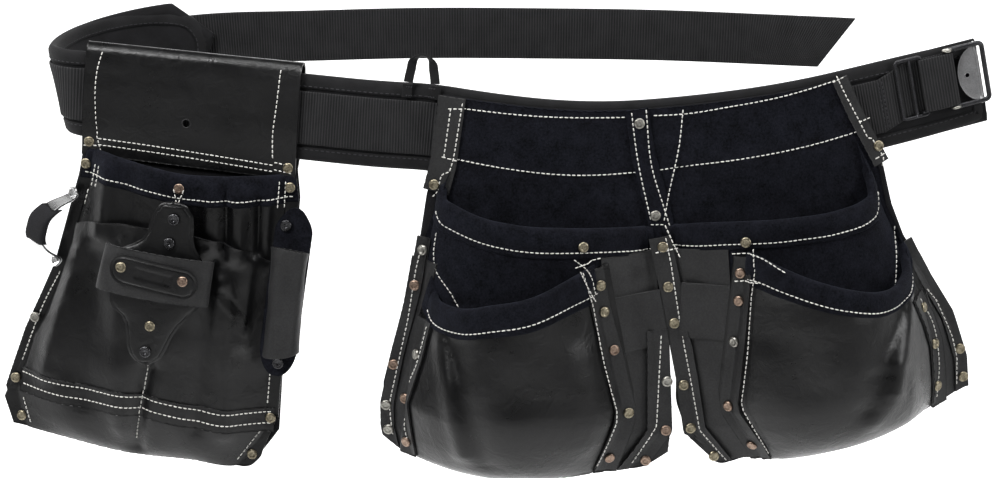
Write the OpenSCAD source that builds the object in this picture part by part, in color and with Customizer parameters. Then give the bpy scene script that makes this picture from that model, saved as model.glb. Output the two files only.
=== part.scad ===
// Carpenter's padded tool belt. It carries two nail bags at the front, a tool pouch on a
// sliding tunnel at the side, and a free webbing strap folded back behind.
// Every soft part is placed by three belt coordinates: s along the belt from the centre
// front, t down from the belt's centre line, and n outward from the pad's middle.

/* [Belt] */
// Width of the webbing
webbing_w = 50; // [46:1:52]
// Thickness of the webbing
webbing_t = 1.6; // [1.2:0.1:1.8]
// Height of the padded belt
pad_h = 80; // [76:1:84]
// Thickness of the padded belt
pad_t = 9; // [7:0.5:9]
// Gap left at each bend, so that two lengths can turn
bend_gap = 6; // [5:0.5:7]

/* [Nail bags] */
// How far an upper pocket's front stands off at its mouth
upper_depth = 42; // [34:1:44]
// How much further a lower pocket's front stands off
lower_depth = 38; // [30:1:40]
// Thickness of the leather and suede
leather_t = 2; // [1.6:0.1:2.2]
// Clearance between a pocket and what is sewn on it
layer_gap = 1.6; // [1.4:0.1:2]
// Width of the folded rims
rim_w = 26; // [22:1:28]
// Width of the riveted leather strips
strip_w = 12; // [10:0.5:13]

/* [Left pouch] */
// Length of the belt tunnel
tunnel_l = 206; // [200:1:208]
// How far the pouch's front stands off
pouch_depth = 30; // [24:1:32]
// Radius of the pencil tube
tube_r = 17.5; // [15:0.5:18]
// Length of the pencil tube
tube_l = 99; // [90:1:104]

/* [Metal] */
// Diameter of a rivet cap
rivet_d = 9.5; // [8.5:0.5:10]
// Wire diameter of the slider
slider_wire = 3; // [2.5:0.1:3.2]
// Wire diameter of the buckle
buckle_wire = 4; // [3.5:0.1:4.2]

/* [Hidden] */

// The belt's route, one row a station: distance s, heading, roll and lean in degrees.
ROUTE = [
    [-1450, -180, -3.5, 0], [-1150, -180, -1, 0], [-900, -180, 1.5, 0],
    [-830, -186, 2, 0], [-787, -190, 5, 0], [-700, -145, 7.5, 6],
    [-576, -90, 7, 13], [-536, -10, 4.2, 0], [-285, -10, 4.2, 0],
    [-225, -8, 1.5, 0], [-185, -6, 8.5, 0], [-115, -4, 5.5, 0],
    [-45, -1.5, -0.5, 0], [0, 0, -4.5, 0], [85, 5, -7, 0],
    [180, 11, -11.5, 0], [335, 16, -11.5, 0]];
HEADINGS = [for (r = ROUTE) [r[0], r[1]]];
ROLLS = [for (r = ROUTE) [r[0], r[2]]];
LEANS = [for (r = ROUTE) [r[0], r[3]]];

// Bends: where each one's hinge line crosses the belt
LEFT_BEND = -240;
BACK_BEND = -576;
STRAP_BEND_1 = -835;
STRAP_BEND_2 = -1150;
END_BEND = 212;
STRAP_END = -1412;
BELT_END = 318;
POUCH_S = -430;
SLIDER_S = 247;
BUCKLE_S = 286;

// Directions of the belt at s: along it, outward from the wearer, and up its face
function along(s) = let (b = lookup(s, HEADINGS), a = lookup(s, ROLLS))
    [cos(b) * cos(a), sin(b) * cos(a), -sin(a)];
function level_out(s) = let (b = lookup(s, HEADINGS)) [sin(b), -cos(b), 0];
function level_up(s) = let (b = lookup(s, HEADINGS), a = lookup(s, ROLLS))
    [cos(b) * sin(a), sin(b) * sin(a), cos(a)];
function outward(s) = let (l = lookup(s, LEANS)) cos(l) * level_out(s) - sin(l) * level_up(s);
function upward(s) = let (l = lookup(s, LEANS)) cos(l) * level_up(s) + sin(l) * level_out(s);

// The belt's centre line, added up in short steps from the strap's end
track_step = 5;
TRACK = [for (p = [0, 0, 0], s = -1450; s <= 345;
    p = p + track_step * along(s + track_step / 2), s = s + track_step) [s, p]];
TRACK_X = [for (q = TRACK) [q[0], q[1][0]]];
TRACK_Y = [for (q = TRACK) [q[0], q[1][1]]];
TRACK_Z = [for (q = TRACK) [q[0], q[1][2]]];
START = [lookup(0, TRACK_X), lookup(0, TRACK_Y), lookup(0, TRACK_Z)];
function centre(s) = [lookup(s, TRACK_X), lookup(s, TRACK_Y), lookup(s, TRACK_Z)] - START;
function place(s, t, n) = centre(s) - t * upward(s) + n * outward(s);

// The nail bags hang flat beyond these two stations, so they keep one direction there
HANG_LEFT = -190;
HANG_RIGHT = 200;
function hang(s, t, n) = let (c = max(HANG_LEFT, min(HANG_RIGHT, s)))
    place(c, t, n) + (s - c) * along(c);

// A closed sheet between two equal grids of points, the first on the outside
module sheet(outer, inner) {
    rows = len(outer) - 1;
    cols = len(outer[0]) - 1;
    count = (rows + 1) * (cols + 1);
    function o(i, j) = i * (cols + 1) + j;
    function k(i, j) = count + o(i, j);
    function quad(a, b, c, d) = [[a, b, c], [a, c, d]];
    polyhedron(
        points = concat([for (r = outer) each r], [for (r = inner) each r]),
        faces = concat(
            [for (i = [0:rows - 1], j = [0:cols - 1])
                each quad(o(i, j), o(i + 1, j), o(i + 1, j + 1), o(i, j + 1))],
            [for (i = [0:rows - 1], j = [0:cols - 1])
                each quad(k(i, j), k(i, j + 1), k(i + 1, j + 1), k(i + 1, j))],
            [for (i = [0:rows - 1]) each quad(k(i, 0), k(i + 1, 0), o(i + 1, 0), o(i, 0))],
            [for (i = [0:rows - 1])
                each quad(o(i, cols), o(i + 1, cols), k(i + 1, cols), k(i, cols))],
            [for (j = [0:cols - 1]) each quad(k(0, j), o(0, j), o(0, j + 1), k(0, j + 1))],
            [for (j = [0:cols - 1])
                each quad(o(rows, j), k(rows, j), k(rows, j + 1), o(rows, j + 1))]));
}

// A sheet drawn by two functions of a and b, each from 0 to 1
module shell(cells_a, cells_b, outer, inner) {
    sheet([for (i = [0:cells_a]) [for (j = [0:cells_b]) outer(i / cells_a, j / cells_b)]],
        [for (i = [0:cells_a]) [for (j = [0:cells_b]) inner(i / cells_a, j / cells_b)]]);
}

// A length of belt from s0 to s1 and from t0 down to t1, its thickness from n0 out to n1
module band(s0, s1, t0, t1, n0, n1, cells = 6) {
    shell(cells, 4,
        function(a, b) place(s0 + (s1 - s0) * a, t0 + (t1 - t0) * b, n1),
        function(a, b) place(s0 + (s1 - s0) * a, t0 + (t1 - t0) * b, n0));
}

// Moves its children to station s, with X along the belt, Z up its face and -Y outward
module at_station(s, t = 0, n = 0) {
    p = place(s, t, n);
    x = along(s);
    y = -outward(s);
    z = upward(s);
    multmatrix([[x[0], y[0], z[0], p[0]], [x[1], y[1], z[1], p[1]], [x[2], y[2], z[2], p[2]]])
        children();
}

// A domed cap on a shank, its head towards -Y
module rivet(d = rivet_d, shank = 3) {
    rotate([90, 0, 0])
        rotate_extrude($fn = 24)
            polygon([[0, -shank], [d * 0.2, -shank], [d * 0.2, 0], [d * 0.5, 0],
                [d * 0.5, 0.6], [d * 0.42, 1.3], [d * 0.25, 1.8], [0, 2]]);
}

// ---- the padded belt and its webbing ----

module pad(s0, s1, cells) {
    color("#1c1c1e") band(s0, s1, -pad_h / 2, pad_h / 2, -pad_t / 2, pad_t / 2, cells);
}
webbing_n = pad_t / 2 + 0.7;
module webbing(s0, s1, cells) {
    color("#222224")
        band(s0, s1, -webbing_w / 2, webbing_w / 2, webbing_n, webbing_n + webbing_t, cells);
}
half_gap = bend_gap / 2;
module pad_mid() pad(LEFT_BEND + half_gap, -half_gap, 12);
module pad_right() pad(half_gap, END_BEND - half_gap, 12);
module pad_end() pad(END_BEND + half_gap, BELT_END, 6);
module pad_left() pad(BACK_BEND + half_gap, LEFT_BEND - half_gap, 30);
PAD_TIP = -784;
module pad_back() pad(PAD_TIP, BACK_BEND - half_gap, 14);
module webbing_mid() webbing(LEFT_BEND + half_gap, -half_gap, 12);
module webbing_right() webbing(half_gap, END_BEND - half_gap, 12);
module webbing_left() webbing(BACK_BEND + half_gap, LEFT_BEND - half_gap, 30);
module webbing_back() webbing(STRAP_BEND_1 + half_gap, BACK_BEND - half_gap, 16);
module strap_1() webbing(STRAP_BEND_2 + half_gap, STRAP_BEND_1 - half_gap, 8);

// The free end is cut on a slant
strap_slant = 34;
module strap_2() {
    s1 = STRAP_BEND_2 - half_gap;
    function at(a, b, n) = let (s0 = STRAP_END + strap_slant * b)
        place(s0 + (s1 - s0) * a, webbing_w * (b - 0.5), n);
    color("#222224") shell(6, 1,
        function(a, b) at(a, b, webbing_n + webbing_t), function(a, b) at(a, b, webbing_n));
}

// The webbing's end: out to the buckle's bar, round it, and back on top of itself.
// It rises from the belt's centre line to the buckle's.
buckle_t = -10;
bar_r = 2.5;
fold_n = webbing_n + webbing_t + bar_r + 0.4;
WEBBING_RISE = [[190, 0], [235, buckle_t], [335, buckle_t]];
module webbing_end() {
    turn = fold_n - webbing_n;
    run = concat([[END_BEND + half_gap, webbing_n], [235, webbing_n], [260, webbing_n]],
        [for (a = [-90:30:90]) [BUCKLE_S + turn * cos(a), fold_n + turn * sin(a)]],
        [[268, fold_n + turn]]);
    last = len(run) - 1;
    // The side of the ribbon that faces the bar, at point i
    function inward(i) = let (p = run[max(0, i - 1)], q = run[min(last, i + 1)],
        d = (q - p) / norm(q - p)) [-d[1], d[0]];
    function row(i, k) = let (q = run[i] + k * webbing_t * inward(i), c = lookup(q[0], WEBBING_RISE))
        [place(q[0], c - webbing_w / 2, q[1]), place(q[0], c + webbing_w / 2, q[1])];
    color("#222224") sheet([for (i = [0:last]) row(i, 1)], [for (i = [0:last]) row(i, 0)]);
}

// ---- metal on the belt's end ----

slider_w = 25;
slider_h = 58;
slider_n = webbing_n + webbing_t + slider_wire / 2 + 0.5;
module slider() {
    color("#3c3c40") at_station(SLIDER_S, buckle_t, slider_n) {
        for (x = [-1, 0, 1])
            translate([x * slider_w / 2, 0, 0])
                cylinder(h = slider_h - slider_wire, d = slider_wire, center = true, $fn = 24);
        for (z = [-1, 1])
            translate([0, 0, z * (slider_h - slider_wire) / 2])
                rotate([0, 90, 0])
                    cylinder(h = slider_w, d = slider_wire, center = true, $fn = 24);
    }
}

buckle_w = 34;
buckle_h = 58;
plate_x = 26;
module in_buckle() at_station(BUCKLE_S, buckle_t, fold_n) children();
module buckle_frame() {
    arm_z = (buckle_h - buckle_wire) / 2;
    color("#46464a") in_buckle() {
        cylinder(h = buckle_h, r = bar_r, center = true, $fn = 24);
        translate([buckle_w, 0, 0]) cylinder(h = buckle_h, d = buckle_wire, center = true, $fn = 24);
        for (z = [-1, 1])
            translate([0, 0, z * arm_z]) {
                difference() {
                    rotate([0, 90, 0]) cylinder(h = buckle_w, d = buckle_wire, $fn = 24);
                    translate([plate_x, 0, 0])
                        cylinder(h = 2 * buckle_wire, r = pin_r + 0.05, center = true, $fn = 24);
                }
                cylinder(h = buckle_wire - 0.6, d = 10, center = true, $fn = 32);
            }
    }
}
pin_r = 1.2;
module buckle_pin() {
    color("#6a6a6e") in_buckle()
        translate([plate_x, 0, 0]) cylinder(h = buckle_h + 1, r = pin_r, center = true, $fn = 24);
}
// A half oval plate on the pin, its curved side towards the webbing
module buckle_plate() {
    half = (buckle_h - 2 * buckle_wire) / 2 - 0.4;
    barrel_r = pin_r + 1.1;
    reach = 19;
    color("#808084") in_buckle()
        difference() {
            union() {
                translate([plate_x, 0, 0]) cylinder(h = 2 * half, r = barrel_r, center = true, $fn = 24);
                translate([plate_x, -barrel_r + 2, 0])
                    rotate([90, 0, 0])
                        linear_extrude(2)
                            polygon([for (a = [90:15:270]) [reach * cos(a), half * sin(a)]]);
            }
            translate([plate_x, 0, 0]) cylinder(h = buckle_h, r = pin_r + 0.05, center = true, $fn = 24);
            translate([plate_x - 11, 0, 0]) rotate([90, 0, 0]) cylinder(h = 20, d = 5, center = true, $fn = 24);
        }
}

// ---- the loop for braces on the pad's top edge ----

BRACE_S = -214.5;
brace_w = 28;
brace_tape = 9;
brace_t = 2.4;
module in_brace() at_station(BRACE_S, -pad_h / 2 - 1, webbing_n) rotate([90, 0, 0]) children();
module brace_loop() {
    outer_r = brace_w / 2;
    leg = 16;
    color("#202022") in_brace() difference() {
        union() {
            translate([0, leg, 0]) cylinder(h = brace_t, r = outer_r, $fn = 48);
            translate([-outer_r, 0, 0]) cube([brace_w, leg, brace_t]);
        }
        translate([0, leg, -1]) cylinder(h = brace_t + 2, r = outer_r - brace_tape, $fn = 48);
        translate([brace_tape - outer_r, -1, -1]) cube([brace_w - 2 * brace_tape, leg + 1, brace_t + 2]);
        translate([-outer_r, -outer_r, -1]) cube([brace_w, outer_r, brace_t + 2]);
    }
}
module brace_loop_feet() {
    color("#202022") in_brace()
        for (side = [-1, 1])
            translate([side * (brace_w - brace_tape) / 2 - brace_tape / 2, -13, 0])
                cube([brace_tape, 12.4, brace_t]);
}

// ---- the nail bags ----
// A bag is a list of tables. OUT and IN give the edges' s at a height t, MOUTH and HEM the
// pockets' top and bottom at a distance s.
OUT = 0;
IN = 1;
MOUTH = 2;
HEM = 3;
bag_top = -34;
LEFT_UPPER = [
    [[60, -199], [102, -198], [150, -201], [211, -209], [251, -213], [298, -206]],
    [[84, -3.2], [285, -3.2], [305, -17]],
    [[-200, 60], [-176, 64], [-117, 72], [-71, 72], [-31, 76], [-3, 84]],
    [[-213, 296], [-196, 303], [-172, 309], [-114, 317], [-42, 306], [-17, 303], [-3, 288]]];
LEFT_LOWER = [
    [[140, -187], [206, -191], [254, -196], [302, -186]],
    [[105, -46], [140, -42], [188, -34], [240, -27], [302, -40]],
    [[-187, 148], [-173, 153], [-150, 151], [-124, 140], [-96, 129], [-69, 114], [-46, 104]],
    [[-196, 297], [-172, 305], [-114, 313], [-42, 302]]];
RIGHT_UPPER = [
    [[50, 205], [92, 209], [124, 214], [166, 231], [216, 246], [250, 251], [278, 246]],
    [[84, 3.2], [218, 5], [270, 7], [304, 30]],
    [[3, 86], [15, 80], [68, 75], [108, 77], [164, 81], [190, 78], [206, 56]],
    [[7, 274], [30, 306], [57, 297], [73, 306], [120, 308], [176, 299], [246, 281]]];
RIGHT_LOWER = [
    [[120, 215], [150, 220], [180, 223], [225, 225], [275, 222]],
    [[97, 66], [141, 57], [186, 49], [240, 41], [300, 60]],
    [[60, 106], [92, 115], [114, 128], [139, 142], [166, 154], [189, 154], [207, 146], [219, 124]],
    [[41, 270], [60, 298], [73, 302], [120, 304], [176, 295], [226, 278]]];

face_n = webbing_n + webbing_t + 0.4;
tab_n = face_n + 2 * leather_t + 0.4;
// How much of a pocket's depth stands at a share u across it and v down it
function across(u) = pow(max(0, sin(180 * max(0, min(1, u)))), 0.7);
function down(v) = v <= 0.6 ? 1 : sqrt(max(0, 1 - pow((min(1, v) - 0.6) / 0.4, 2)));
function stand(bag, s, t) = let (
    s0 = lookup(t, bag[OUT]), s1 = lookup(t, bag[IN]),
    t0 = lookup(s, bag[MOUTH]), t1 = lookup(s, bag[HEM]))
    across((s - s0) / (s1 - s0)) * down(max(0, (t - t0) / (t1 - t0)));

// Inner face of an upper pocket's front, of what lies on it, and of a lower pocket's front
function upper_n(bag, s, t) = tab_n + upper_depth * stand(bag, s, t);
function on_upper_n(bag, s, t) = upper_n(bag, s, t) + leather_t + layer_gap;
function lower_n(bag, low, s, t) = on_upper_n(bag, s, t) + lower_depth * stand(low, s, t);

// A point's height and distance at shares a across and b down a pocket outline
nominal_hem = 302;
function across_at(bag, a, b, top) = let (t = top + (nominal_hem - top) * b,
    s0 = lookup(t, bag[OUT]), s1 = lookup(t, bag[IN])) s0 + (s1 - s0) * a;
function pocket_at(bag, a, b) = let (s = across_at(bag, a, b, bag[OUT][0][0]),
    t0 = lookup(s, bag[MOUTH]), t1 = lookup(s, bag[HEM])) [s, t0 + (t1 - t0) * b];

// A pocket's front wall. side is -1 on the left bag, whose outer edge comes first in s.
module pocket(outline, side, depth) {
    function at(a, b, extra) = let (q = pocket_at(outline, side < 0 ? a : 1 - a, b))
        hang(q[0], q[1], depth(q[0], q[1]) + extra);
    shell(14, 10, function(a, b) at(a, b, leather_t), function(a, b) at(a, b, 0));
}

// A flat panel of a bag between two heights
module bag_panel(outline, side, top, bottom, n, cells_b = 6) {
    function at(a, b, extra) = let (
        t_flat = top + (bottom - top) * b,
        s0 = lookup(t_flat, outline[OUT]), s1 = lookup(t_flat, outline[IN]),
        s = s0 + (s1 - s0) * (side < 0 ? a : 1 - a),
        t = min(t_flat, lookup(s, outline[HEM])))
        hang(s, t, n + extra);
    shell(8, cells_b, function(a, b) at(a, b, leather_t), function(a, b) at(a, b, 0));
}

// The folded rim along a pocket's mouth, over some of the pocket's 14 columns. It stops
// short of the strip at the inner edge.
module rim(outline, side, depth, columns = 14) {
    share = rim_w / (nominal_hem - outline[MOUTH][2][1]);
    first = side < 0 ? 0 : 14 - columns;
    function at(a, b, extra) = let (u = (first + a * columns) / 14,
        q = pocket_at(outline, side < 0 ? u : 1 - u, share * b))
        hang(q[0], q[1], depth(q[0], q[1]) + leather_t + layer_gap + extra);
    shell(columns, 2, function(a, b) at(a, b, leather_t), function(a, b) at(a, b, 0));
}

// A narrow leather strip whose middle follows path, a table of s at each height t. It lies
// flat across, clear of the higher of its two edges.
module strip(path, depth, width = strip_w, cells = 10) {
    t0 = path[0][0];
    t1 = path[len(path) - 1][0];
    function at(a, b, extra) = let (t = t0 + (t1 - t0) * b, s = lookup(t, path),
        high = max(depth(s - width / 2, t), depth(s, t), depth(s + width / 2, t), depth(s, t - 10)))
        hang(s + width * (a - 0.5), t, high + leather_t + layer_gap + extra);
    shell(2, cells, function(a, b) at(a, b, leather_t), function(a, b) at(a, b, 0));
}

// Rivets through the layers at the listed [s, t] places
module rivets_at(places, depth) {
    for (q = places) {
        c = max(HANG_LEFT, min(HANG_RIGHT, q[0]));
        high = max(depth(q[0] - strip_w / 2, q[1]), depth(q[0] + strip_w / 2, q[1]));
        p = hang(q[0], q[1], high + 2 * leather_t + layer_gap);
        x = along(c);
        y = -outward(c);
        z = upward(c);
        multmatrix([[x[0], y[0], z[0], p[0]], [x[1], y[1], z[1], p[1]], [x[2], y[2], z[2], p[2]]])
            rivet();
    }
}

left_upper_n = function(s, t) upper_n(LEFT_UPPER, s, t);
left_on_upper_n = function(s, t) on_upper_n(LEFT_UPPER, s, t);
left_lower_n = function(s, t) lower_n(LEFT_UPPER, LEFT_LOWER, s, t);
right_upper_n = function(s, t) upper_n(RIGHT_UPPER, s, t);
right_on_upper_n = function(s, t) on_upper_n(RIGHT_UPPER, s, t);
right_lower_n = function(s, t) lower_n(RIGHT_UPPER, RIGHT_LOWER, s, t);

LEATHER = "#17171a";
SUEDE = "#14161f";
module left_bag_back() color(LEATHER) bag_panel(LEFT_UPPER, -1, bag_top, 310, face_n, 10);
module left_bag_face() color(SUEDE)
    bag_panel(LEFT_UPPER, -1, bag_top + 1, 190, face_n + leather_t + 0.2);
module left_upper_pocket() color(SUEDE) pocket(LEFT_UPPER, -1, left_upper_n);
module left_upper_rim() color(SUEDE) rim(LEFT_UPPER, -1, left_upper_n);
module left_lower_pocket() color(LEATHER) pocket(LEFT_LOWER, -1, left_lower_n);
module left_lower_rim() color(SUEDE) rim(LEFT_LOWER, -1, left_lower_n, 12);

module right_bag_back() color(LEATHER) bag_panel(RIGHT_UPPER, 1, bag_top, 308, face_n, 10);
module right_bag_face() color(SUEDE)
    bag_panel(RIGHT_UPPER, 1, bag_top + 1, 190, face_n + leather_t + 0.2);
module right_upper_pocket() color(SUEDE) pocket(RIGHT_UPPER, 1, right_upper_n);
module right_upper_rim() color(SUEDE) rim(RIGHT_UPPER, 1, right_upper_n);
module right_lower_pocket() color(LEATHER) pocket(RIGHT_LOWER, 1, right_lower_n);
module right_lower_rim() color(SUEDE) rim(RIGHT_LOWER, 1, right_lower_n, 12);

// Strips that bind the pockets' sides, and the one beside the gap between the bags
LEFT_OUTER = [[104, -193], [150, -195], [211, -203], [266, -206], [296, -200]];
LEFT_SIDE = [[182, -181], [206, -181], [254, -187], [292, -181]];
LEFT_INNER = [[112, -50], [147, -45], [181, -40], [240, -32], [252, -32], [298, -44]];
LEFT_CENTRE = [[112, -10], [262, -10], [300, -25]];
RIGHT_OUTER = [[180, 232], [190, 235], [216, 242], [250, 246], [272, 243]];
RIGHT_SIDE = [[190, 212], [225, 214], [266, 211]];
RIGHT_INNER = [[120, 69], [146, 63], [182, 56], [242, 47], [252, 47], [294, 64]];
RIGHT_CENTRE = [[112, 11], [218, 13], [268, 15], [300, 32]];

module left_side_strips() color(LEATHER) {
    strip(LEFT_OUTER, left_upper_n, 10);
    strip(LEFT_SIDE, left_lower_n, 10);
}
module left_inner_strip() color(LEATHER) strip(LEFT_INNER, left_lower_n);
module left_centre_strip() color(LEATHER) strip(LEFT_CENTRE, left_upper_n);
module right_side_strips() color(LEATHER) {
    strip(RIGHT_OUTER, right_upper_n, 8);
    strip(RIGHT_SIDE, right_lower_n, 10);
}
module right_inner_strip() color(LEATHER) strip(RIGHT_INNER, right_lower_n);
module right_centre_strip() color(LEATHER) strip(RIGHT_CENTRE, right_upper_n);

// Square patches between the strips, low on the upper pockets' fronts
module left_patch() color(LEATHER)
    strip([[138, -26], [186, -25]], left_upper_n, 12, 4);
module right_patch() color(LEATHER)
    strip([[128, 35], [182, 29]], right_upper_n, 22, 4);

// The riveted tabs that close the bags' ends over the belt, and the strap down their middle
module tab(s0, s1, t0, t1) {
    shell(2, 4,
        function(a, b) hang(s0 + (s1 - s0) * a, t0 + (t1 - t0) * b, tab_n + leather_t + 0.2),
        function(a, b) hang(s0 + (s1 - s0) * a, t0 + (t1 - t0) * b, tab_n + 0.2));
}
module left_end_tab() color(LEATHER) tab(-199, -176, bag_top, 54);
module right_end_tab() color(LEATHER) tab(178, 207, bag_top, 48);
module centre_strap() color(LEATHER) tab(-18, -3.5, bag_top, 78);

LEFT_LOW_RIVETS = [[-50, 123], [-45, 147], [-40, 181], [-31, 244], [-40, 289],
    [-181, 206], [-187, 250], [-180, 292]];
LEFT_UP_RIVETS = [[-194, 112], [-196, 144], [-204, 224], [-206, 262], [-202, 288],
    [-10, 210], [-10, 262], [-22, 294]];
RIGHT_LOW_RIVETS = [[68, 124], [63, 146], [56, 182], [46, 242], [60, 286],
    [212, 190], [215, 225], [214, 268]];
RIGHT_UP_RIVETS = [[243, 242], [242, 270],
    [10, 131], [11, 165], [13, 224], [15, 267], [30, 297]];
module left_bag_rivets() color("#a39a7c") {
    rivets_at(LEFT_LOW_RIVETS, left_lower_n);
    rivets_at(LEFT_UP_RIVETS, left_upper_n);
    rivets_at([[-60, 85], [-188, 78]], left_upper_n);
    rivets_at([[-11, -21], [-10, 70], [-193, 48]], function(s, t) face_n + leather_t);
}
module right_bag_rivets() color("#a39a7c") {
    rivets_at(RIGHT_LOW_RIVETS, right_lower_n);
    rivets_at(RIGHT_UP_RIVETS, right_upper_n);
    rivets_at([[71, 91]], right_upper_n);
    rivets_at([[203, 33]], function(s, t) face_n + leather_t);
}

// ---- the left pouch, drawn flat: X along the belt, -Y outward, Z up ----

module on_pouch() at_station(POUCH_S) children();
function flat(u, t, n) = [u, -n, -t];
module flat_shell(cells_a, cells_b, point, thickness = leather_t) {
    shell(cells_a, cells_b,
        function(a, b) let (q = point(a, b)) flat(q[0], q[1], q[2] + thickness),
        function(a, b) let (q = point(a, b)) flat(q[0], q[1], q[2]));
}

// The tunnel: a flat leather sleeve round the belt, sewn shut below it, with an eyelet hole
tunnel_top = -46;
tunnel_bottom = 55;
tunnel_front = webbing_n + webbing_t + 1.2;
tunnel_back = -pad_t / 2 - 1.5;
eyelet_d = 8;
module pouch_tunnel() {
    color(LEATHER) on_pouch() difference() {
        translate([-tunnel_l / 2, -tunnel_front - leather_t, -tunnel_bottom])
            cube([tunnel_l, tunnel_front - tunnel_back + 2 * leather_t, tunnel_bottom - tunnel_top]);
        translate([-tunnel_l / 2 - 1, -tunnel_front, -pad_h / 2 - 2])
            cube([tunnel_l + 2, tunnel_front - tunnel_back, pad_h + 4]);
        translate([-3, 0, -16]) rotate([90, 0, 0]) cylinder(h = 30, d = eyelet_d, $fn = 32);
    }
}

POUCH_OUT = [[56, -104], [75, -105], [164, -125], [229, -150], [290, -167], [326, -158]];
POUCH_IN = [[56, 104], [76, 106], [251, 99], [302, 99], [340, 74]];
POUCH_HEM = [[-160, 322], [-113, 328], [-37, 336], [60, 339], [80, 334], [99, 302]];
POUCH_MOUTH = [[-105, 58], [-66, 57], [-29, 60], [26, 62], [105, 60]];
OUTER_MOUTH = [[-114, 126], [-87, 116], [-59, 112], [-24, 111], [26, 114], [71, 128], [104, 146]];
POUCH = [POUCH_OUT, POUCH_IN, POUCH_MOUTH, POUCH_HEM];
OUTER = [POUCH_OUT, POUCH_IN, OUTER_MOUTH, POUCH_HEM];
pouch_base = 6;
outer_extra = 12;
pouch_back_n = 3;
front_n = function(u, t) pouch_base + pouch_depth * stand(POUCH, u, t);
outer_n = function(u, t) front_n(u, t) + leather_t + layer_gap + outer_extra * stand(OUTER, u, t);
on_outer_n = function(u, t) outer_n(u, t) + leather_t + layer_gap;

function pouch_at(outline, a, b) = let (
    top = outline[MOUTH][3][1], t_flat = top + (326 - top) * b,
    s0 = lookup(t_flat, outline[OUT]), s1 = lookup(t_flat, outline[IN]), u = s0 + (s1 - s0) * a,
    t0 = lookup(u, outline[MOUTH]), t1 = lookup(u, outline[HEM])) [u, t0 + (t1 - t0) * b];

module pouch_back() color(LEATHER) on_pouch()
    flat_shell(8, 10, function(a, b) let (q = pouch_at(POUCH, a, b)) [q[0], q[1], pouch_back_n]);
module pouch_front() color(LEATHER) on_pouch()
    flat_shell(14, 12, function(a, b) let (q = pouch_at(POUCH, a, b)) [q[0], q[1], front_n(q[0], q[1])]);
module pouch_outer_pocket() color(LEATHER) on_pouch()
    flat_shell(14, 12, function(a, b) let (q = pouch_at(OUTER, a, b)) [q[0], q[1], outer_n(q[0], q[1])]);
module pouch_rim() color(SUEDE) on_pouch()
    flat_shell(14, 2, function(a, b) let (q = pouch_at(POUCH, a, b * rim_w / 265))
        [q[0], q[1], front_n(q[0], q[1]) + leather_t + layer_gap]);

// The sewn band above the pouch's hem
BAND_TOP = [[-160, 268], [-25, 272], [43, 281], [100, 281]];
module pouch_bottom_band() color(LEATHER) on_pouch()
    flat_shell(12, 2, function(a, b)
        let (u = -158 + 254 * a, t = lookup(u, BAND_TOP) + 20 * b) [u, t, on_outer_n(u, t)]);

// The waisted plate of the tool holder, its cross band and the oblong badge on the band
PLATE_LEFT = [[83, -8], [94, -16], [112, -21], [126, -33], [134, -52], [180, -52],
    [190, -44], [212, -36], [228, -32], [237, -22]];
PLATE_RIGHT = [[83, 12], [94, 20], [115, 21], [126, 25], [134, 30], [180, 26],
    [198, 12], [212, 5], [228, -1], [237, -14]];
function plate_n(t) = pouch_base + pouch_depth + outer_extra + 3 * leather_t + 3 * layer_gap
    + 0.02 * (t - 83);
module holder_plate() color(LEATHER) on_pouch()
    flat_shell(2, 18, function(a, b) let (t = 83 + 154 * b,
        u0 = lookup(t, PLATE_LEFT), u1 = lookup(t, PLATE_RIGHT)) [u0 + (u1 - u0) * a, t, plate_n(t)]);
band_rise = 13;
function band_n(a) = plate_n(180) + leather_t + 0.5 + band_rise * pow(max(0, sin(180 * a)), 0.5);
module holder_band() color(LEATHER) on_pouch()
    flat_shell(16, 1, function(a, b) [-58 + 100 * a, 126 + 8 * a + 43 * b, band_n(a)]);
module holder_badge() color(LEATHER) on_pouch()
    translate([-9, -band_n(0.5) - leather_t - 0.3, -149])
        rotate([90, 8, 0]) linear_extrude(2) {
            square([56, 28], center = true);
            for (x = [-28, 28]) translate([x, 0]) circle(d = 28, $fn = 48);
        }

// The hammer loop: a steel strap that bridges out from the pouch's left edge, and its sleeve.
// BRIDGE gives the stand-off at each height, towards the front left.
BRIDGE = [[88, 0], [97, 0], [103, 16], [111, 25], [124, 28], [138, 25], [147, 16], [154, 0], [163, 0]];
hammer_w = 20;
hammer_steel = 2;
function bridge(a, t, lift) = let (r = lookup(t, BRIDGE), d = r + lift, w = hammer_w * (a - 0.5))
    flat(-107 - 0.2 * (t - 88) - 0.7 * d + 0.7 * w, t, tab_top + 0.7 * d + 0.7 * w);
tab_top = 18;
module hammer_loop() {
    color("#b8b8b8") on_pouch()
        shell(1, len(BRIDGE) - 1,
            function(a, b) bridge(a, BRIDGE[round(b * (len(BRIDGE) - 1))][0], hammer_steel),
            function(a, b) bridge(a, BRIDGE[round(b * (len(BRIDGE) - 1))][0], 0));
}
module hammer_sleeve() {
    color(LEATHER) on_pouch()
        shell(1, 2,
            function(a, b) bridge(1.25 * a - 0.125, 111 + 27 * b, hammer_steel + 0.5 + leather_t),
            function(a, b) bridge(1.25 * a - 0.125, 111 + 27 * b, hammer_steel + 0.5));
}

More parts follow.
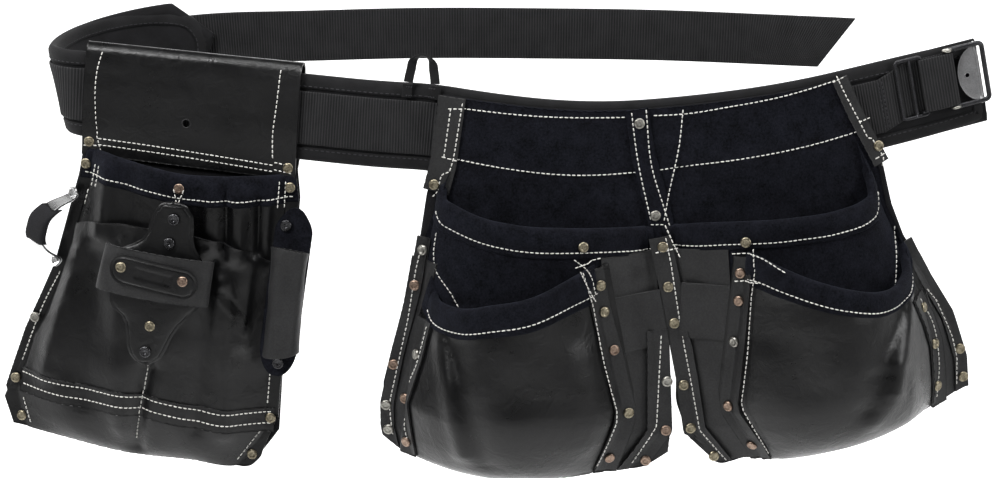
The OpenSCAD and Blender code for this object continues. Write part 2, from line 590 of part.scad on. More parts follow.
// The pencil tube and the pointed tongue it is snapped to
tube_u = 108;
tube_top = 116;
tongue_n = 32;
module pencil_tongue() color(SUEDE) on_pouch()
    translate([tube_u - 2, -tongue_n, -161]) rotate([90, 4, 0]) linear_extrude(leather_t)
        polygon([[-8, 80], [8, 80], [16, 66], [17, -60], [10, -76], [0, -80], [-10, -76], [-17, -60], [-16, 66]]);
module pencil_tube() color(LEATHER) on_pouch()
    translate([tube_u, -(tongue_n + leather_t + tube_r + 0.4), -tube_top - tube_l])
        difference() {
            cylinder(h = tube_l, r = tube_r, $fn = 64);
            translate([0, 0, -1]) cylinder(h = tube_l + 2, r = tube_r - leather_t, $fn = 64);
        }

module flat_rivet(u, t, n, d = rivet_d, shank = 3) translate(flat(u, t, n)) rivet(d, shank);
module pouch_rivets() color("#a39a7c") on_pouch() {
    for (q = [[-96, 46], [96, 48]]) flat_rivet(q[0], q[1], tunnel_front + leather_t);
    for (q = [[1, 72], [-98, 71], [98, 72]])
        flat_rivet(q[0], q[1], front_n(q[0], lookup(q[0], POUCH_MOUTH) + 1) + 2 * leather_t + layer_gap);
    for (q = [[-136, 218], [-150, 312], [75, 322]])
        flat_rivet(q[0], q[1], outer_n(q[0], q[1]) + leather_t);
    for (q = [[-148, 278], [88, 290]]) flat_rivet(q[0], q[1], on_outer_n(q[0], q[1]) + leather_t);
    for (q = [[-38, 143], [18, 151]]) flat_rivet(q[0], q[1], band_n(0.5) + leather_t + 2.3);
    flat_rivet(-14, 200, plate_n(200) + leather_t);
    for (t = [92.5, 158.5]) translate(bridge(0.5, t, hammer_steel)) rotate([0, 0, -45]) rivet(rivet_d, 2);
}
module pouch_snaps() color("#2c2c30") on_pouch() {
    for (q = [[3, 97], [0, 119], [-18, 226]]) flat_rivet(q[0], q[1], plate_n(q[1]) + leather_t, 11);
    for (t = [96, 230]) flat_rivet(tube_u - 4, t, tongue_n + leather_t, 11, 1.5);
}

pad_mid();
webbing_mid();
brace_loop_feet();
centre_strap();
left_bag_back();
left_bag_face();
left_end_tab();
left_upper_pocket();
left_upper_rim();
left_lower_pocket();
left_lower_rim();
left_side_strips();
left_inner_strip();
left_centre_strip();
left_patch();
left_bag_rivets();
pad_right();
webbing_right();
right_bag_back();
right_bag_face();
right_end_tab();
right_upper_pocket();
right_upper_rim();
right_lower_pocket();
right_lower_rim();
right_side_strips();
right_inner_strip();
right_centre_strip();
right_patch();
right_bag_rivets();
pad_end();
webbing_end();
slider();
buckle_frame();
buckle_pin();
buckle_plate();
brace_loop();
pad_left();
webbing_left();
pad_back();
webbing_back();
strap_1();
strap_2();
pouch_tunnel();
pouch_back();
pouch_front();
pouch_rim();
pouch_outer_pocket();
pouch_bottom_band();
holder_plate();
holder_band();
holder_badge();
hammer_loop();
hammer_sleeve();
pencil_tongue();
pencil_tube();
pouch_rivets();
pouch_snaps();
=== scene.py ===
"""The looks of a carpenter's padded tool belt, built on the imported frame.

Lengths are in millimetres until a mesh is made. Most pieces are placed by the belt's own
coordinates: s along the belt from the centre front, t down from its centre line, and n
outward from the pad's middle. The pouch uses u, t and n on its own flat plane. A space is a
function from three such coordinates to points, and a surface is one that gives n at s and t.
"""

import bpy
import numpy as np
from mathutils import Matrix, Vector


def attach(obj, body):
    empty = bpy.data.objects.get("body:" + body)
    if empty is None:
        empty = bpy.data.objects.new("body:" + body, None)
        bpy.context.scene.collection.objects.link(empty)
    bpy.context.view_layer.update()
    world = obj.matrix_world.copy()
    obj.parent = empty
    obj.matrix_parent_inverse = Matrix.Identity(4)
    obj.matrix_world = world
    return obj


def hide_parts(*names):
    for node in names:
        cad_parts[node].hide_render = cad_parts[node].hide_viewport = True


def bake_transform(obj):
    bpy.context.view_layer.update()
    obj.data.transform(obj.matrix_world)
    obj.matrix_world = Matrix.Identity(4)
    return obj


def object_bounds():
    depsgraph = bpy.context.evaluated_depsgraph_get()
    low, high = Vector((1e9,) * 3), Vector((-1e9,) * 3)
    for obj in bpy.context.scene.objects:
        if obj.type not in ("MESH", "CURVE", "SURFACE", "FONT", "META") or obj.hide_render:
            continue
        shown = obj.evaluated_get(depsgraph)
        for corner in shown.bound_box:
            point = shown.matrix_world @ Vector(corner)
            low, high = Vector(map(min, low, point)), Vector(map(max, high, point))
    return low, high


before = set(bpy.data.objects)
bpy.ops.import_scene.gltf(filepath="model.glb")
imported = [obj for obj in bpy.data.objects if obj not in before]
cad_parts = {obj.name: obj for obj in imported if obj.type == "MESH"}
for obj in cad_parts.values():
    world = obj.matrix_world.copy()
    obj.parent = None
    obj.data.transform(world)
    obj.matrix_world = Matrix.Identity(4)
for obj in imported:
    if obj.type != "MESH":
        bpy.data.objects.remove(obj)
CAD_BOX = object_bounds()
MM = 0.001
RANDOM = np.random.default_rng(7)
# Towards the camera
FRONT = np.array([0.0, -1.0, 0.0])

# ---- the belt's coordinates, as in the CAD model ----

# One row a station: distance, heading, roll and lean in degrees
ROUTE = np.array([
    [-1450, -180, -3.5, 0], [-1150, -180, -1, 0], [-900, -180, 1.5, 0],
    [-830, -186, 2, 0], [-787, -190, 5, 0], [-700, -145, 7.5, 6],
    [-576, -90, 7, 13], [-536, -10, 4.2, 0], [-285, -10, 4.2, 0],
    [-225, -8, 1.5, 0], [-185, -6, 8.5, 0], [-115, -4, 5.5, 0],
    [-45, -1.5, -0.5, 0], [0, 0, -4.5, 0], [85, 5, -7, 0],
    [180, 11, -11.5, 0], [335, 16, -11.5, 0]], float)
LEFT_BEND, BACK_BEND, STRAP_BEND_1, STRAP_BEND_2, END_BEND = -240, -576, -835, -1150, 212
STRAP_END, PAD_TIP, BELT_END = -1412, -784, 318
POUCH_S, SLIDER_S, BUCKLE_S, BRACE_S = -430, 247, 286, -214.5

# Between the points of the belt's middle line
STATION_STEP = 5.0


def turned(column, s):
    return np.radians(np.interp(s, ROUTE[:, 0], ROUTE[:, column]))


def along(s):
    """The belt's direction at s."""
    b, a = turned(1, s), turned(2, s)
    return np.stack([np.cos(b) * np.cos(a), np.sin(b) * np.cos(a), -np.sin(a)], -1)


def leaned(s):
    """The belt's outward and upward directions at s."""
    b, a, lean = turned(1, s), turned(2, s), turned(3, s)[..., None]
    out = np.stack([np.sin(b), -np.cos(b), np.zeros_like(b)], -1)
    up = np.stack([np.cos(b) * np.sin(a), np.sin(b) * np.sin(a), np.cos(a)], -1)
    return np.cos(lean) * out - np.sin(lean) * up, np.cos(lean) * up + np.sin(lean) * out


STATIONS = np.arange(-1450, 351, STATION_STEP)
STEPS = STATION_STEP * along(STATIONS[:-1] + STATION_STEP / 2)
TRACK = np.vstack([np.zeros(3), np.cumsum(STEPS, 0)])
TRACK -= [np.interp(0, STATIONS, TRACK[:, k]) for k in range(3)]


def place(s, t, n):
    """A point of the belt."""
    s, t, n = np.broadcast_arrays(*(np.asarray(x, float) for x in (s, t, n)))
    centre = np.stack([np.interp(s, STATIONS, TRACK[:, k]) for k in range(3)], -1)
    out, up = leaned(s)
    return centre - t[..., None] * up + n[..., None] * out


def hang(s, t, n):
    """The nail bags hang flat beyond two stations, so they keep one direction there."""
    s = np.asarray(s, float)
    held = np.clip(s, -190, 200)
    return place(held, t, n) + (s - held)[..., None] * along(held)


def flat(u, t, n):
    """A point of the pouch: u along its plane, t down and n outward."""
    u, t, n = np.broadcast_arrays(*(np.asarray(x, float) for x in (u, t, n)))
    s = np.array(float(POUCH_S))
    out, up = leaned(s)
    return place(s, 0, 0) + u[..., None] * along(s) - t[..., None] * up + n[..., None] * out


def lin(x, table):
    rows = np.array(table, float)
    return np.interp(x, rows[:, 0], rows[:, 1])


def curve(x, table):
    """A smooth curve through a table's rows."""
    rows = np.array(table, float)
    xs, ys = rows[:, 0], rows[:, 1]
    slope = np.gradient(ys, xs)
    x = np.clip(x, xs[0], xs[-1])
    i = np.clip(np.searchsorted(xs, x) - 1, 0, len(xs) - 2)
    h = xs[i + 1] - xs[i]
    k = (x - xs[i]) / h
    return ((2 * k**3 - 3 * k**2 + 1) * ys[i] + (k**3 - 2 * k**2 + k) * h * slope[i]
            + (3 * k**2 - 2 * k**3) * ys[i + 1] + (k**3 - k**2) * h * slope[i + 1])


def ease(x):
    x = np.clip(x, 0, 1)
    return x * x * (3 - 2 * x)


def ridges(s, t, rows):
    """The sum of soft folds, each a row: from s0, t0 to s1, t1, its width and its height."""
    total = np.zeros(np.broadcast(s, t).shape)
    for s0, t0, s1, t1, width, height in rows:
        ds, dt = s1 - s0, t1 - t0
        k = np.clip(((s - s0) * ds + (t - t0) * dt) / (ds * ds + dt * dt), 0, 1)
        away = (s - s0 - k * ds) ** 2 + (t - t0 - k * dt) ** 2
        total = total + height * np.exp(-away / width**2)
    return total


def rumple(s, t, seed, size=70.0):
    """Soft unevenness, about 1 high and size across."""
    rng = np.random.default_rng(seed)
    total = 0.0
    for k in range(5):
        angle, phase = rng.uniform(0, np.pi), rng.uniform(0, 2 * np.pi)
        wave = 2 * np.pi / (size * rng.uniform(0.5, 1.4))
        total = total + np.sin(wave * (s * np.cos(angle) + t * np.sin(angle)) + phase)
    return total / 3


def unit(vectors):
    return vectors / (np.linalg.norm(vectors, axis=-1, keepdims=True) + 1e-9)


def heading(path):
    """Unit directions along a path of points."""
    return unit(np.gradient(path, axis=0))


def lengths(path):
    """How far along a path each of its points is."""
    return np.r_[0, np.cumsum(np.linalg.norm(np.diff(path, axis=0), axis=-1))]


def flat_n(n):
    """A level surface."""
    return lambda s, t: np.full(np.shape(s), float(n))


def flipped(space):
    """A space seen from behind: its n runs towards the wearer."""
    return lambda s, t, n: space(s, t, -n)


# ---- materials ----

class Finish:
    """A material being wired."""

    def __init__(self, name):
        self.material = bpy.data.materials.new(name)
        self.material.use_nodes = True
        self.tree = self.material.node_tree
        self.shader = self.tree.nodes["Principled BSDF"]

    def fill(self, node, **settings):
        """Sets a node's properties, in lower case, and its inputs to values or to other outputs."""
        for key, value in settings.items():
            if key.islower():
                setattr(node, key, value)
            elif isinstance(value, bpy.types.NodeSocket):
                self.tree.links.new(value, node.inputs[key.replace("_", " ")])
            else:
                node.inputs[key.replace("_", " ")].default_value = value
        return node

    def add(self, kind, output=0, **settings):
        """Adds a node and gives one of its outputs."""
        return self.fill(self.tree.nodes.new("ShaderNode" + kind), **settings).outputs[output]

    def noise(self, where, scale, detail, rough=0.5, distortion=0.0):
        return self.add("TexNoise", "Fac", Vector=where, Scale=scale, Detail=detail, Roughness=rough,
                        Distortion=distortion)

    def math(self, operation, *values):
        made = self.tree.nodes.new("ShaderNodeMath")
        made.operation = operation
        for socket, value in zip(made.inputs, values):
            if isinstance(value, bpy.types.NodeSocket):
                self.tree.links.new(value, socket)
            else:
                socket.default_value = value
        return made.outputs[0]

    def ramp(self, value, *stops):
        """A colour that runs between stops, each a place and a colour."""
        made = self.tree.nodes.new("ShaderNodeValToRGB")
        for element, (position, colour) in zip(made.color_ramp.elements, stops):
            element.position = position
            element.color = (*colour, 1)
        self.tree.links.new(value, made.inputs["Fac"])
        return made.outputs["Color"]

    def map(self, value, near, far, least, most):
        return self.add("MapRange", "Result", Value=value, From_Min=near, From_Max=far, To_Min=least,
                        To_Max=most)

    def bump(self, strength, depth, height, **settings):
        return self.add("Bump", "Normal", Strength=strength, Distance=depth * MM, Height=height,
                        **settings)


def textured(name, dark, light, scale, rough, grain, grain_scale, depth, warp=0.0, **shader):
    """A finish whose colour and roughness vary with noise, and whose grain is a bump.

    dark and light are the colours it varies between, rough the two ends of its roughness,
    grain is VORONOI for pebbled leather or NOISE for nap, depth is the grain's in mm, and
    warp is the depth of its soft creases.
    """
    made = Finish(name)
    where = made.add("TexCoord", "Object")
    cloud = made.noise(where, scale, 5.0, 0.62)
    fine = made.noise(where, grain_scale * 0.7, 3.0, 0.7)
    mixed = made.math("MULTIPLY_ADD", fine, 0.55, made.math("MULTIPLY", cloud, 0.45))
    if grain == "VORONOI":
        height = made.add("TexVoronoi", "Distance", feature="DISTANCE_TO_EDGE", Vector=where,
                          Scale=grain_scale)
    else:
        height = made.noise(where, grain_scale, 6.0, 0.8)
    creased = {}
    if warp:
        creased["Normal"] = made.bump(0.5, warp, made.noise(where, 70.0, 4.0, 0.6, 0.6))
    made.fill(made.shader, Base_Color=made.ramp(mixed, (0.36, dark), (0.66, light)),
              Roughness=made.map(cloud, 0.3, 0.7, *rough),
              Normal=made.bump(0.6, depth, height, **creased), **shader)
    return made.material


def woven(name, dark, light, pitch, depth, rough=0.8, rib=0.0):
    """A woven finish: crossing threads a pitch apart, laid along the piece's own UV lengths.

    rib, where there is one, is the spacing of the ridges across the length.
    """
    made = Finish(name)
    where = made.add("TexCoord", "UV")
    over, under = (
        made.add("TexWave", "Fac", bands_direction=direction, wave_profile="SIN", Vector=where,
                 Scale=np.pi / 10 / (spacing * MM), Distortion=0.0 if rib else 0.6, Detail=1.0,
                 Phase_Offset=np.pi)
        for direction, spacing in (("X", rib or pitch), ("Y", pitch)))
    # Ribs show more than the threads between them, and wear unevenly. The weave is painted into the
    # colour as well: its crests lighter as painted highlight, the hollows between them darker as painted
    # shade
    thread = made.math("MULTIPLY_ADD", under, *((0.5, 0.5) if rib else (1.0, 0.0)))
    weave = made.math("MULTIPLY", over, thread)
    cloud = made.noise(made.add("TexCoord", "Object"), 60.0, 4.0)
    faded = made.math("MULTIPLY_ADD", cloud, *((0.4, 0.3) if rib else (1.0, 0.0)))
    # Painted highlight on the weave's crests and painted shade in its hollows, plus uneven wear
    weave_shade_and_wear = made.math("MULTIPLY_ADD", weave, 0.5, faded)
    made.fill(made.shader, Specular_IOR_Level=0.25, Sheen_Weight=0.03, Sheen_Roughness=0.5,
              Base_Color=made.ramp(weave_shade_and_wear, (0.35, dark), (0.95, light)),
              Roughness=made.map(cloud, 0.0, 1.0, rough - 0.08, rough + 0.1),
              Normal=made.bump(0.7, depth, weave))
    return made.material


RIB = 2.6
PEBBLED, NAPPED = "VORONOI", "NOISE"
LEATHER = textured(
    "black_leather", (0.0012, 0.0012, 0.0014), (0.0058, 0.0058, 0.0064), 25.0, (0.24, 0.40),
    PEBBLED, 900.0, 0.13, 1.5, Specular_IOR_Level=0.5)
LEATHER_DULL = textured(
    "dull_leather", (0.0120, 0.0120, 0.0125), (0.0330, 0.0330, 0.0340), 32.0, (0.40, 0.56),
    PEBBLED, 800.0, 0.2, 1.1, Specular_IOR_Level=0.42)
SUEDE = textured(
    "navy_suede", (0.0008, 0.0009, 0.0016), (0.0150, 0.0158, 0.0225), 70.0, (0.85, 1.0),
    NAPPED, 700.0, 0.9, Specular_IOR_Level=0.1, Sheen_Weight=0.04, Sheen_Roughness=0.6,
    Sheen_Tint=(0.5, 0.56, 0.75, 1))
FLESH = textured(
    "leather_flesh_side", (0.009, 0.009, 0.010), (0.022, 0.022, 0.025), 40.0, (0.8, 0.95),
    NAPPED, 900.0, 0.3, Specular_IOR_Level=0.15)
WEBBING = woven("ribbed_webbing", (0.001, 0.001, 0.0012), (0.034, 0.034, 0.036), 1.3, 0.3, 0.62, RIB)
CORDURA = woven("nylon_cordura", (0.0035, 0.0035, 0.0040), (0.0150, 0.0150, 0.0170), 1.1, 0.2, 0.8)
TAPE = woven("binding_tape", (0.0045, 0.0045, 0.0050), (0.0190, 0.0190, 0.0205), 0.9, 0.2, 0.74)


def thread(name, dark, light, rough):
    return textured(name, dark, light, 260.0, rough, NAPPED, 2200.0, 0.12, Specular_IOR_Level=0.3)


def metal(name, dark, light, scale, rough, grain_scale, depth, metallic=1.0):
    return textured(name, dark, light, scale, rough, NAPPED, grain_scale, depth, Metallic=metallic)


THREAD = thread("white_thread", (0.62, 0.61, 0.57), (0.92, 0.91, 0.87), (0.7, 0.85))
BLACK_THREAD = thread("black_thread", (0.014, 0.014, 0.016), (0.06, 0.06, 0.066), (0.6, 0.75))
BRASS = metal("antique_brass", (0.13, 0.11, 0.075), (0.52, 0.47, 0.35), 240, (0.26, 0.4), 900, 0.012)
NICKEL = metal("aged_nickel", (0.20, 0.19, 0.17), (0.60, 0.59, 0.54), 240, (0.26, 0.4), 900, 0.012)
COPPER = metal("aged_copper", (0.16, 0.11, 0.085), (0.50, 0.38, 0.30), 240, (0.28, 0.42), 900, 0.012)
SNAP = metal("dark_snap", (0.035, 0.035, 0.038), (0.14, 0.14, 0.145), 200, (0.2, 0.34), 900, 0.04)
GUNMETAL = metal("gunmetal", (0.028, 0.028, 0.031), (0.075, 0.075, 0.08), 90, (0.28, 0.42), 1200, 0.05,
                 0.8)
PLATE = metal("satin_plate", (0.20, 0.20, 0.205), (0.32, 0.32, 0.325), 60, (0.34, 0.48), 1200, 0.05, 0.8)
BRIGHT = metal("bright_steel", (0.32, 0.32, 0.32), (0.62, 0.62, 0.62), 90, (0.18, 0.32), 1200, 0.04)
RIVET_METALS = [BRASS, NICKEL, COPPER]

# ---- mesh building ----

# Each bend of the belt: the body before it, the body after it, and its place along the belt
BENDS = {
    "front_bend": ("belt_mid", "belt_right", 0), "end_bend": ("belt_right", "belt_end", END_BEND),
    "left_bend": ("belt_left", "belt_mid", LEFT_BEND),
    "back_bend": ("belt_back", "belt_left", BACK_BEND),
    "strap_bend_1": ("strap_1", "belt_back", STRAP_BEND_1),
    "strap_bend_2": ("strap_2", "strap_1", STRAP_BEND_2)}
# How far each way a bend spreads, and how round a sheet's cut edges are
BEND_HALF, EDGE = 18, 0.5


def mesh_object(name, points, faces, materials, indices=None, uvs=None):
    """An object from a grid of points. uvs holds a pair of lengths for each."""
    mesh = bpy.data.meshes.new(name)
    faces = faces.tolist() if isinstance(faces, np.ndarray) else faces
    mesh.from_pydata((np.reshape(points, (-1, 3)) * MM).tolist(), [], faces)
    for material in materials:
        mesh.materials.append(material)
    if indices is not None:
        mesh.polygons.foreach_set("material_index", np.asarray(indices, np.int32))
    if uvs is not None:
        layer = mesh.uv_layers.new(name="lengths")
        corners = np.empty(len(mesh.loops), np.int32)
        mesh.loops.foreach_get("vertex_index", corners)
        flat_uvs = (np.reshape(uvs, (-1, 2)) * MM).astype(np.float32)
        layer.data.foreach_set("uv", flat_uvs[corners].ravel())
    mesh.polygons.foreach_set("use_smooth", np.ones(len(mesh.polygons), bool))
    mesh.validate()
    mesh.update()
    made = bpy.data.objects.new(name, mesh)
    bpy.context.scene.collection.objects.link(made)
    return made


def baked(piece):
    """Makes a piece's modifiers part of its mesh."""
    bpy.context.view_layer.update()
    graph = bpy.context.evaluated_depsgraph_get()
    mesh = bpy.data.meshes.new_from_object(piece.evaluated_get(graph))
    piece.modifiers.clear()
    piece.data = mesh
    return piece


def rounded(piece, width, segments=2):
    """Rounds a piece's sharp edges."""
    bevel = piece.modifiers.new("edge", "BEVEL")
    bevel.limit_method = "ANGLE"
    bevel.angle_limit = np.radians(50)
    bevel.width = width * MM
    bevel.segments = segments
    return baked(piece)


def settle(piece, holder, cad=()):
    """Hides the CAD parts a piece stands for and hangs it on the body that carries it; a piece on a bend
    only has its place baked into its mesh.
    """
    if cad:
        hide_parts(*cad)
    if holder in BENDS:
        before, after, s = BENDS[holder]
        place(s - BEND_HALF, 0, 0) * MM
        place(s + BEND_HALF, 0, 0) * MM
        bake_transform(piece)
    else:
        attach(piece, holder)
    return piece


def grid_faces(rows, cols, first=0, wrap=False, flip=False):
    """Quads over a grid of points numbered row by row, closed across its columns if wrap."""
    i, j = np.meshgrid(np.arange(rows - 1), np.arange(cols if wrap else cols - 1), indexing="ij")
    right = (j + 1) % cols
    quads = np.stack([i * cols + j, (i + 1) * cols + j, (i + 1) * cols + right, i * cols + right], -1)
    quads = quads.reshape(-1, 4) + first
    return quads[:, ::-1] if flip else quads


def capped_faces(rows, cols, flip=True):
    """The faces of a tube over a grid of points, with one over each of its two ends."""
    ends = [list(range(cols)), list(range(rows * cols - 1, (rows - 1) * cols - 1, -1))]
    sides = grid_faces(rows, cols, wrap=True, flip=flip).tolist()
    return sides + (ends if flip else [end[::-1] for end in ends])


def double_wall(name, outer, inner, material, flip=False):
    """An open tube with a thickness, from the grids of points on its two faces."""
    rows, cols = outer.shape[:2]
    k = np.arange(cols)
    after, last = (k + 1) % cols, (2 * rows - 1) * cols
    brim = np.stack([k, last + k, last + after, after], -1)
    faces = np.vstack([grid_faces(2 * rows, cols, wrap=True, flip=flip),
                       brim[:, [1, 0, 3, 2]] if flip else brim])
    return mesh_object(name, np.concatenate([outer, inner[::-1]]), faces, [material])


def facing(normals, out):
    """Normals turned to agree with the direction out, one for the whole grid."""
    return normals if (normals * out).sum() > 0 else -normals


def sheet(name, points, out, thick, outer, inner=None, edge=EDGE, hole=None):
    """A sheet of leather or cloth from a grid of points on its inner face.

    out is a rough outward direction, thick its thickness, and outer and inner the materials of
    its two faces. hole is a round opening: its centre, radius, and the grid's flat coordinates.
    """
    rows, cols = points.shape[:2]
    normals = facing(unit(np.cross(np.gradient(points, axis=0), np.gradient(points, axis=1))), out)
    count = rows * cols
    corner = np.cross(points[1, 0] - points[0, 0], points[0, 1] - points[0, 0])
    wound = (corner * normals[0, 0]).sum() > 0
    front = grid_faces(rows, cols, flip=not wound)
    ring = np.concatenate([
        np.arange(cols), np.arange(1, rows) * cols + cols - 1,
        (rows - 1) * cols + np.arange(cols - 2, -1, -1), np.arange(rows - 2, 0, -1) * cols])
    after = np.roll(ring, -1)
    border = np.stack([ring, after, after + count, ring + count], -1)
    border = border[:, ::-1] if wound else border
    if hole:
        centre, radius, across, down = hole
        away = np.hypot(across - centre[0], down - centre[1]).ravel()
        front = front[away[front].mean(1) > radius]
    faces = np.vstack([front, front[:, ::-1] + count, border])
    indices = np.r_[np.zeros(len(front)), np.ones(len(front)), np.zeros(len(border))]
    made = mesh_object(name, np.stack([points + thick * normals, points]), faces,
                       [outer, inner or outer], indices)
    return rounded(made, edge) if edge else made


def tube(name, path, radius, material, closed=False, sides=12):
    """A round wire along a path of points."""
    path = np.asarray(path, float)
    rows = len(path)
    ahead = unit(np.roll(path, -1, 0) - np.roll(path, 1, 0)) if closed else heading(path)
    # Any direction that no wire here runs along
    side = unit(np.cross(ahead, np.array([0.21, -0.93, 0.3])))
    other = np.cross(ahead, side)
    turn = np.linspace(0, 2 * np.pi, sides, endpoint=False)[None, :, None]
    rings = path[:, None] + radius * (np.cos(turn) * side[:, None] + np.sin(turn) * other[:, None])
    if closed:
        faces = grid_faces(rows + 1, sides, wrap=True, flip=True) % (rows * sides)
    else:
        faces = capped_faces(rows, sides)
    return mesh_object(name, rings, faces, [material])


def lathe_points(profile, sides=24):
    """A turned shape's points and faces about +Z, from rows of radius and height."""
    turn = np.linspace(0, 2 * np.pi, sides, endpoint=False)
    rings = [[(r * np.cos(a), r * np.sin(a), z) for a in turn] for r, z in profile]
    return np.array(rings).reshape(-1, 3), grid_faces(len(profile), sides, wrap=True)


# Rows of radius and height: a cap with a raised ring round a shallow dimple, a snap, a washer
CAP = [(0.01, 1.3), (1.6, 1.28), (2.3, 1.22), (2.7, 1.45), (3.3, 1.6), (4.1, 1.45), (4.8, 0.95),
       (5.1, 0.2), (5.0, -0.6)]
SNAP_CAP = [(0.01, 0.9), (1.5, 0.95), (1.9, 1.35), (2.6, 1.5), (3.3, 1.2), (3.7, 1.5), (4.6, 1.6),
            (5.3, 1.0), (5.5, 0.1), (5.4, -0.5)]
BURR = [(0.01, 0.9), (1.6, 0.95), (2.2, 0.7), (2.5, 0.55), (4.2, 0.5), (4.5, 0.2), (4.4, -0.2),
        (0.02, -0.2)]
# Where a cap's rim rests from its middle, and how far off square a hand set one stands
CAP_REACH, CAP_TILT = 4.0, 0.03


def frames_on(space, surface, s, t, step=1.5):
    """Points on a surface in a space, and their outward normals."""
    s, t = np.asarray(s, float), np.asarray(t, float)
    here = space(s, t, surface(s, t))
    ds = space(s + step, t, surface(s + step, t)) - space(s - step, t, surface(s - step, t))
    dt = space(s, t + step, surface(s, t + step)) - space(s, t - step, surface(s, t - step))
    normal = unit(np.cross(dt, ds))
    out = space(s, t, surface(s, t) + 1) - here
    return here, normal * np.sign((normal * out).sum(-1, keepdims=True))


def caps(name, groups, materials, profile=CAP):
    """Rivet or snap caps. groups holds (space, surface, places), a place being s, t and
    optionally the number of its material."""
    shape, quads = lathe_points(profile)
    points, faces, indices = [], [], []
    for space, surface, places in groups:
        for spot in places:
            here, normal = frames_on(space, surface, [spot[0]], [spot[1]], CAP_REACH)
            z = normal[0]
            # A cap bridges what dips under it, resting on the ground at its rim
            turn = np.arange(8) * np.pi / 4
            s, t = spot[0] + CAP_REACH * np.cos(turn), spot[1] + CAP_REACH * np.sin(turn)
            rise = (space(s, t, surface(s, t)) - here[0]) @ z
            here[0] += max(0.0, np.sort(rise)[-3]) * z
            x = unit(np.cross([0.3, 0.2, 1.0], z))
            y = np.cross(z, x)
            tilt = RANDOM.normal(0, CAP_TILT, 2)
            z = unit(z + tilt[0] * x + tilt[1] * y)
            faces.append(quads + len(points) * len(shape))
            points.append(here[0] + shape @ np.array([x, y, z]))
            indices.append(np.full(len(quads), spot[2] if len(spot) > 2 else 0))
    return mesh_object(name, np.vstack(points), np.vstack(faces), materials, np.concatenate(indices))


def dense(line, step=1.0, smooth=True):
    """A line of s, t rows resampled evenly, as one smooth curve or as straight lengths."""
    line = np.array(line, float)
    far = lengths(line)
    x = np.linspace(0, far[-1], max(3, int(far[-1] / step)))
    if smooth and len(line) > 2:
        return np.stack([curve(x, np.c_[far, line[:, k]]) for k in (0, 1)], -1)
    return np.stack([np.interp(x, far, line[:, k]) for k in (0, 1)], -1)


# A stitch's rings: how far along it each one is, how fat, and how high
STITCH_ALONG = np.array([-0.5, -0.36, 0, 0.36, 0.5])[:, None, None]
STITCH_FAT = np.array([0.35, 0.9, 1.0, 0.9, 0.35])[:, None, None]
STITCH_LIFT = np.array([-0.55, 0.1, 0.35, 0.1, -0.55])[:, None, None]
STITCH_SIDES = 6


def stitches(name, runs, material=None, pitch=4.7, gap=1.15, radius=0.62):
    """Rows of thread. runs holds (space, surface, line, smooth), the line in s and t."""
    turn = np.linspace(0, 2 * np.pi, STITCH_SIDES, endpoint=False)[None, :, None]
    ring_count = len(STITCH_ALONG)
    points, faces = [], []
    for space, surface, line, smooth in runs:
        path = dense(line, 0.8, smooth)
        here, normal = frames_on(space, surface, path[:, 0], path[:, 1])
        far = lengths(here)
        count = max(1, int(round(far[-1] / pitch)))
        long = far[-1] / count - gap
        for x0 in np.arange(count) * far[-1] / count:
            start, end = (np.array([np.interp(x, far, here[:, k]) for k in range(3)])
                          for x in (x0 + gap / 2, x0 + gap / 2 + long))
            z = np.array([np.interp(x0 + long / 2, far, normal[:, k]) for k in range(3)])
            size = np.linalg.norm(end - start)
            x = unit(end - start)
            z = unit(z - x * (z @ x))
            y = np.cross(z, x)
            x = x + y * RANDOM.normal(0, 0.05)
            fat = radius * RANDOM.uniform(0.9, 1.1) * STITCH_FAT
            rings = ((start + end) / 2 + STITCH_ALONG * size * x + fat * np.cos(turn) * y
                     + (fat * np.sin(turn) + STITCH_LIFT * radius) * z)
            first = len(points) * ring_count * STITCH_SIDES
            faces.append(grid_faces(ring_count, STITCH_SIDES, first, wrap=True))
            points.append(rings)
    return mesh_object(name, np.array(points), np.vstack(faces), [material or THREAD])


# ---- camera, floor and light ----

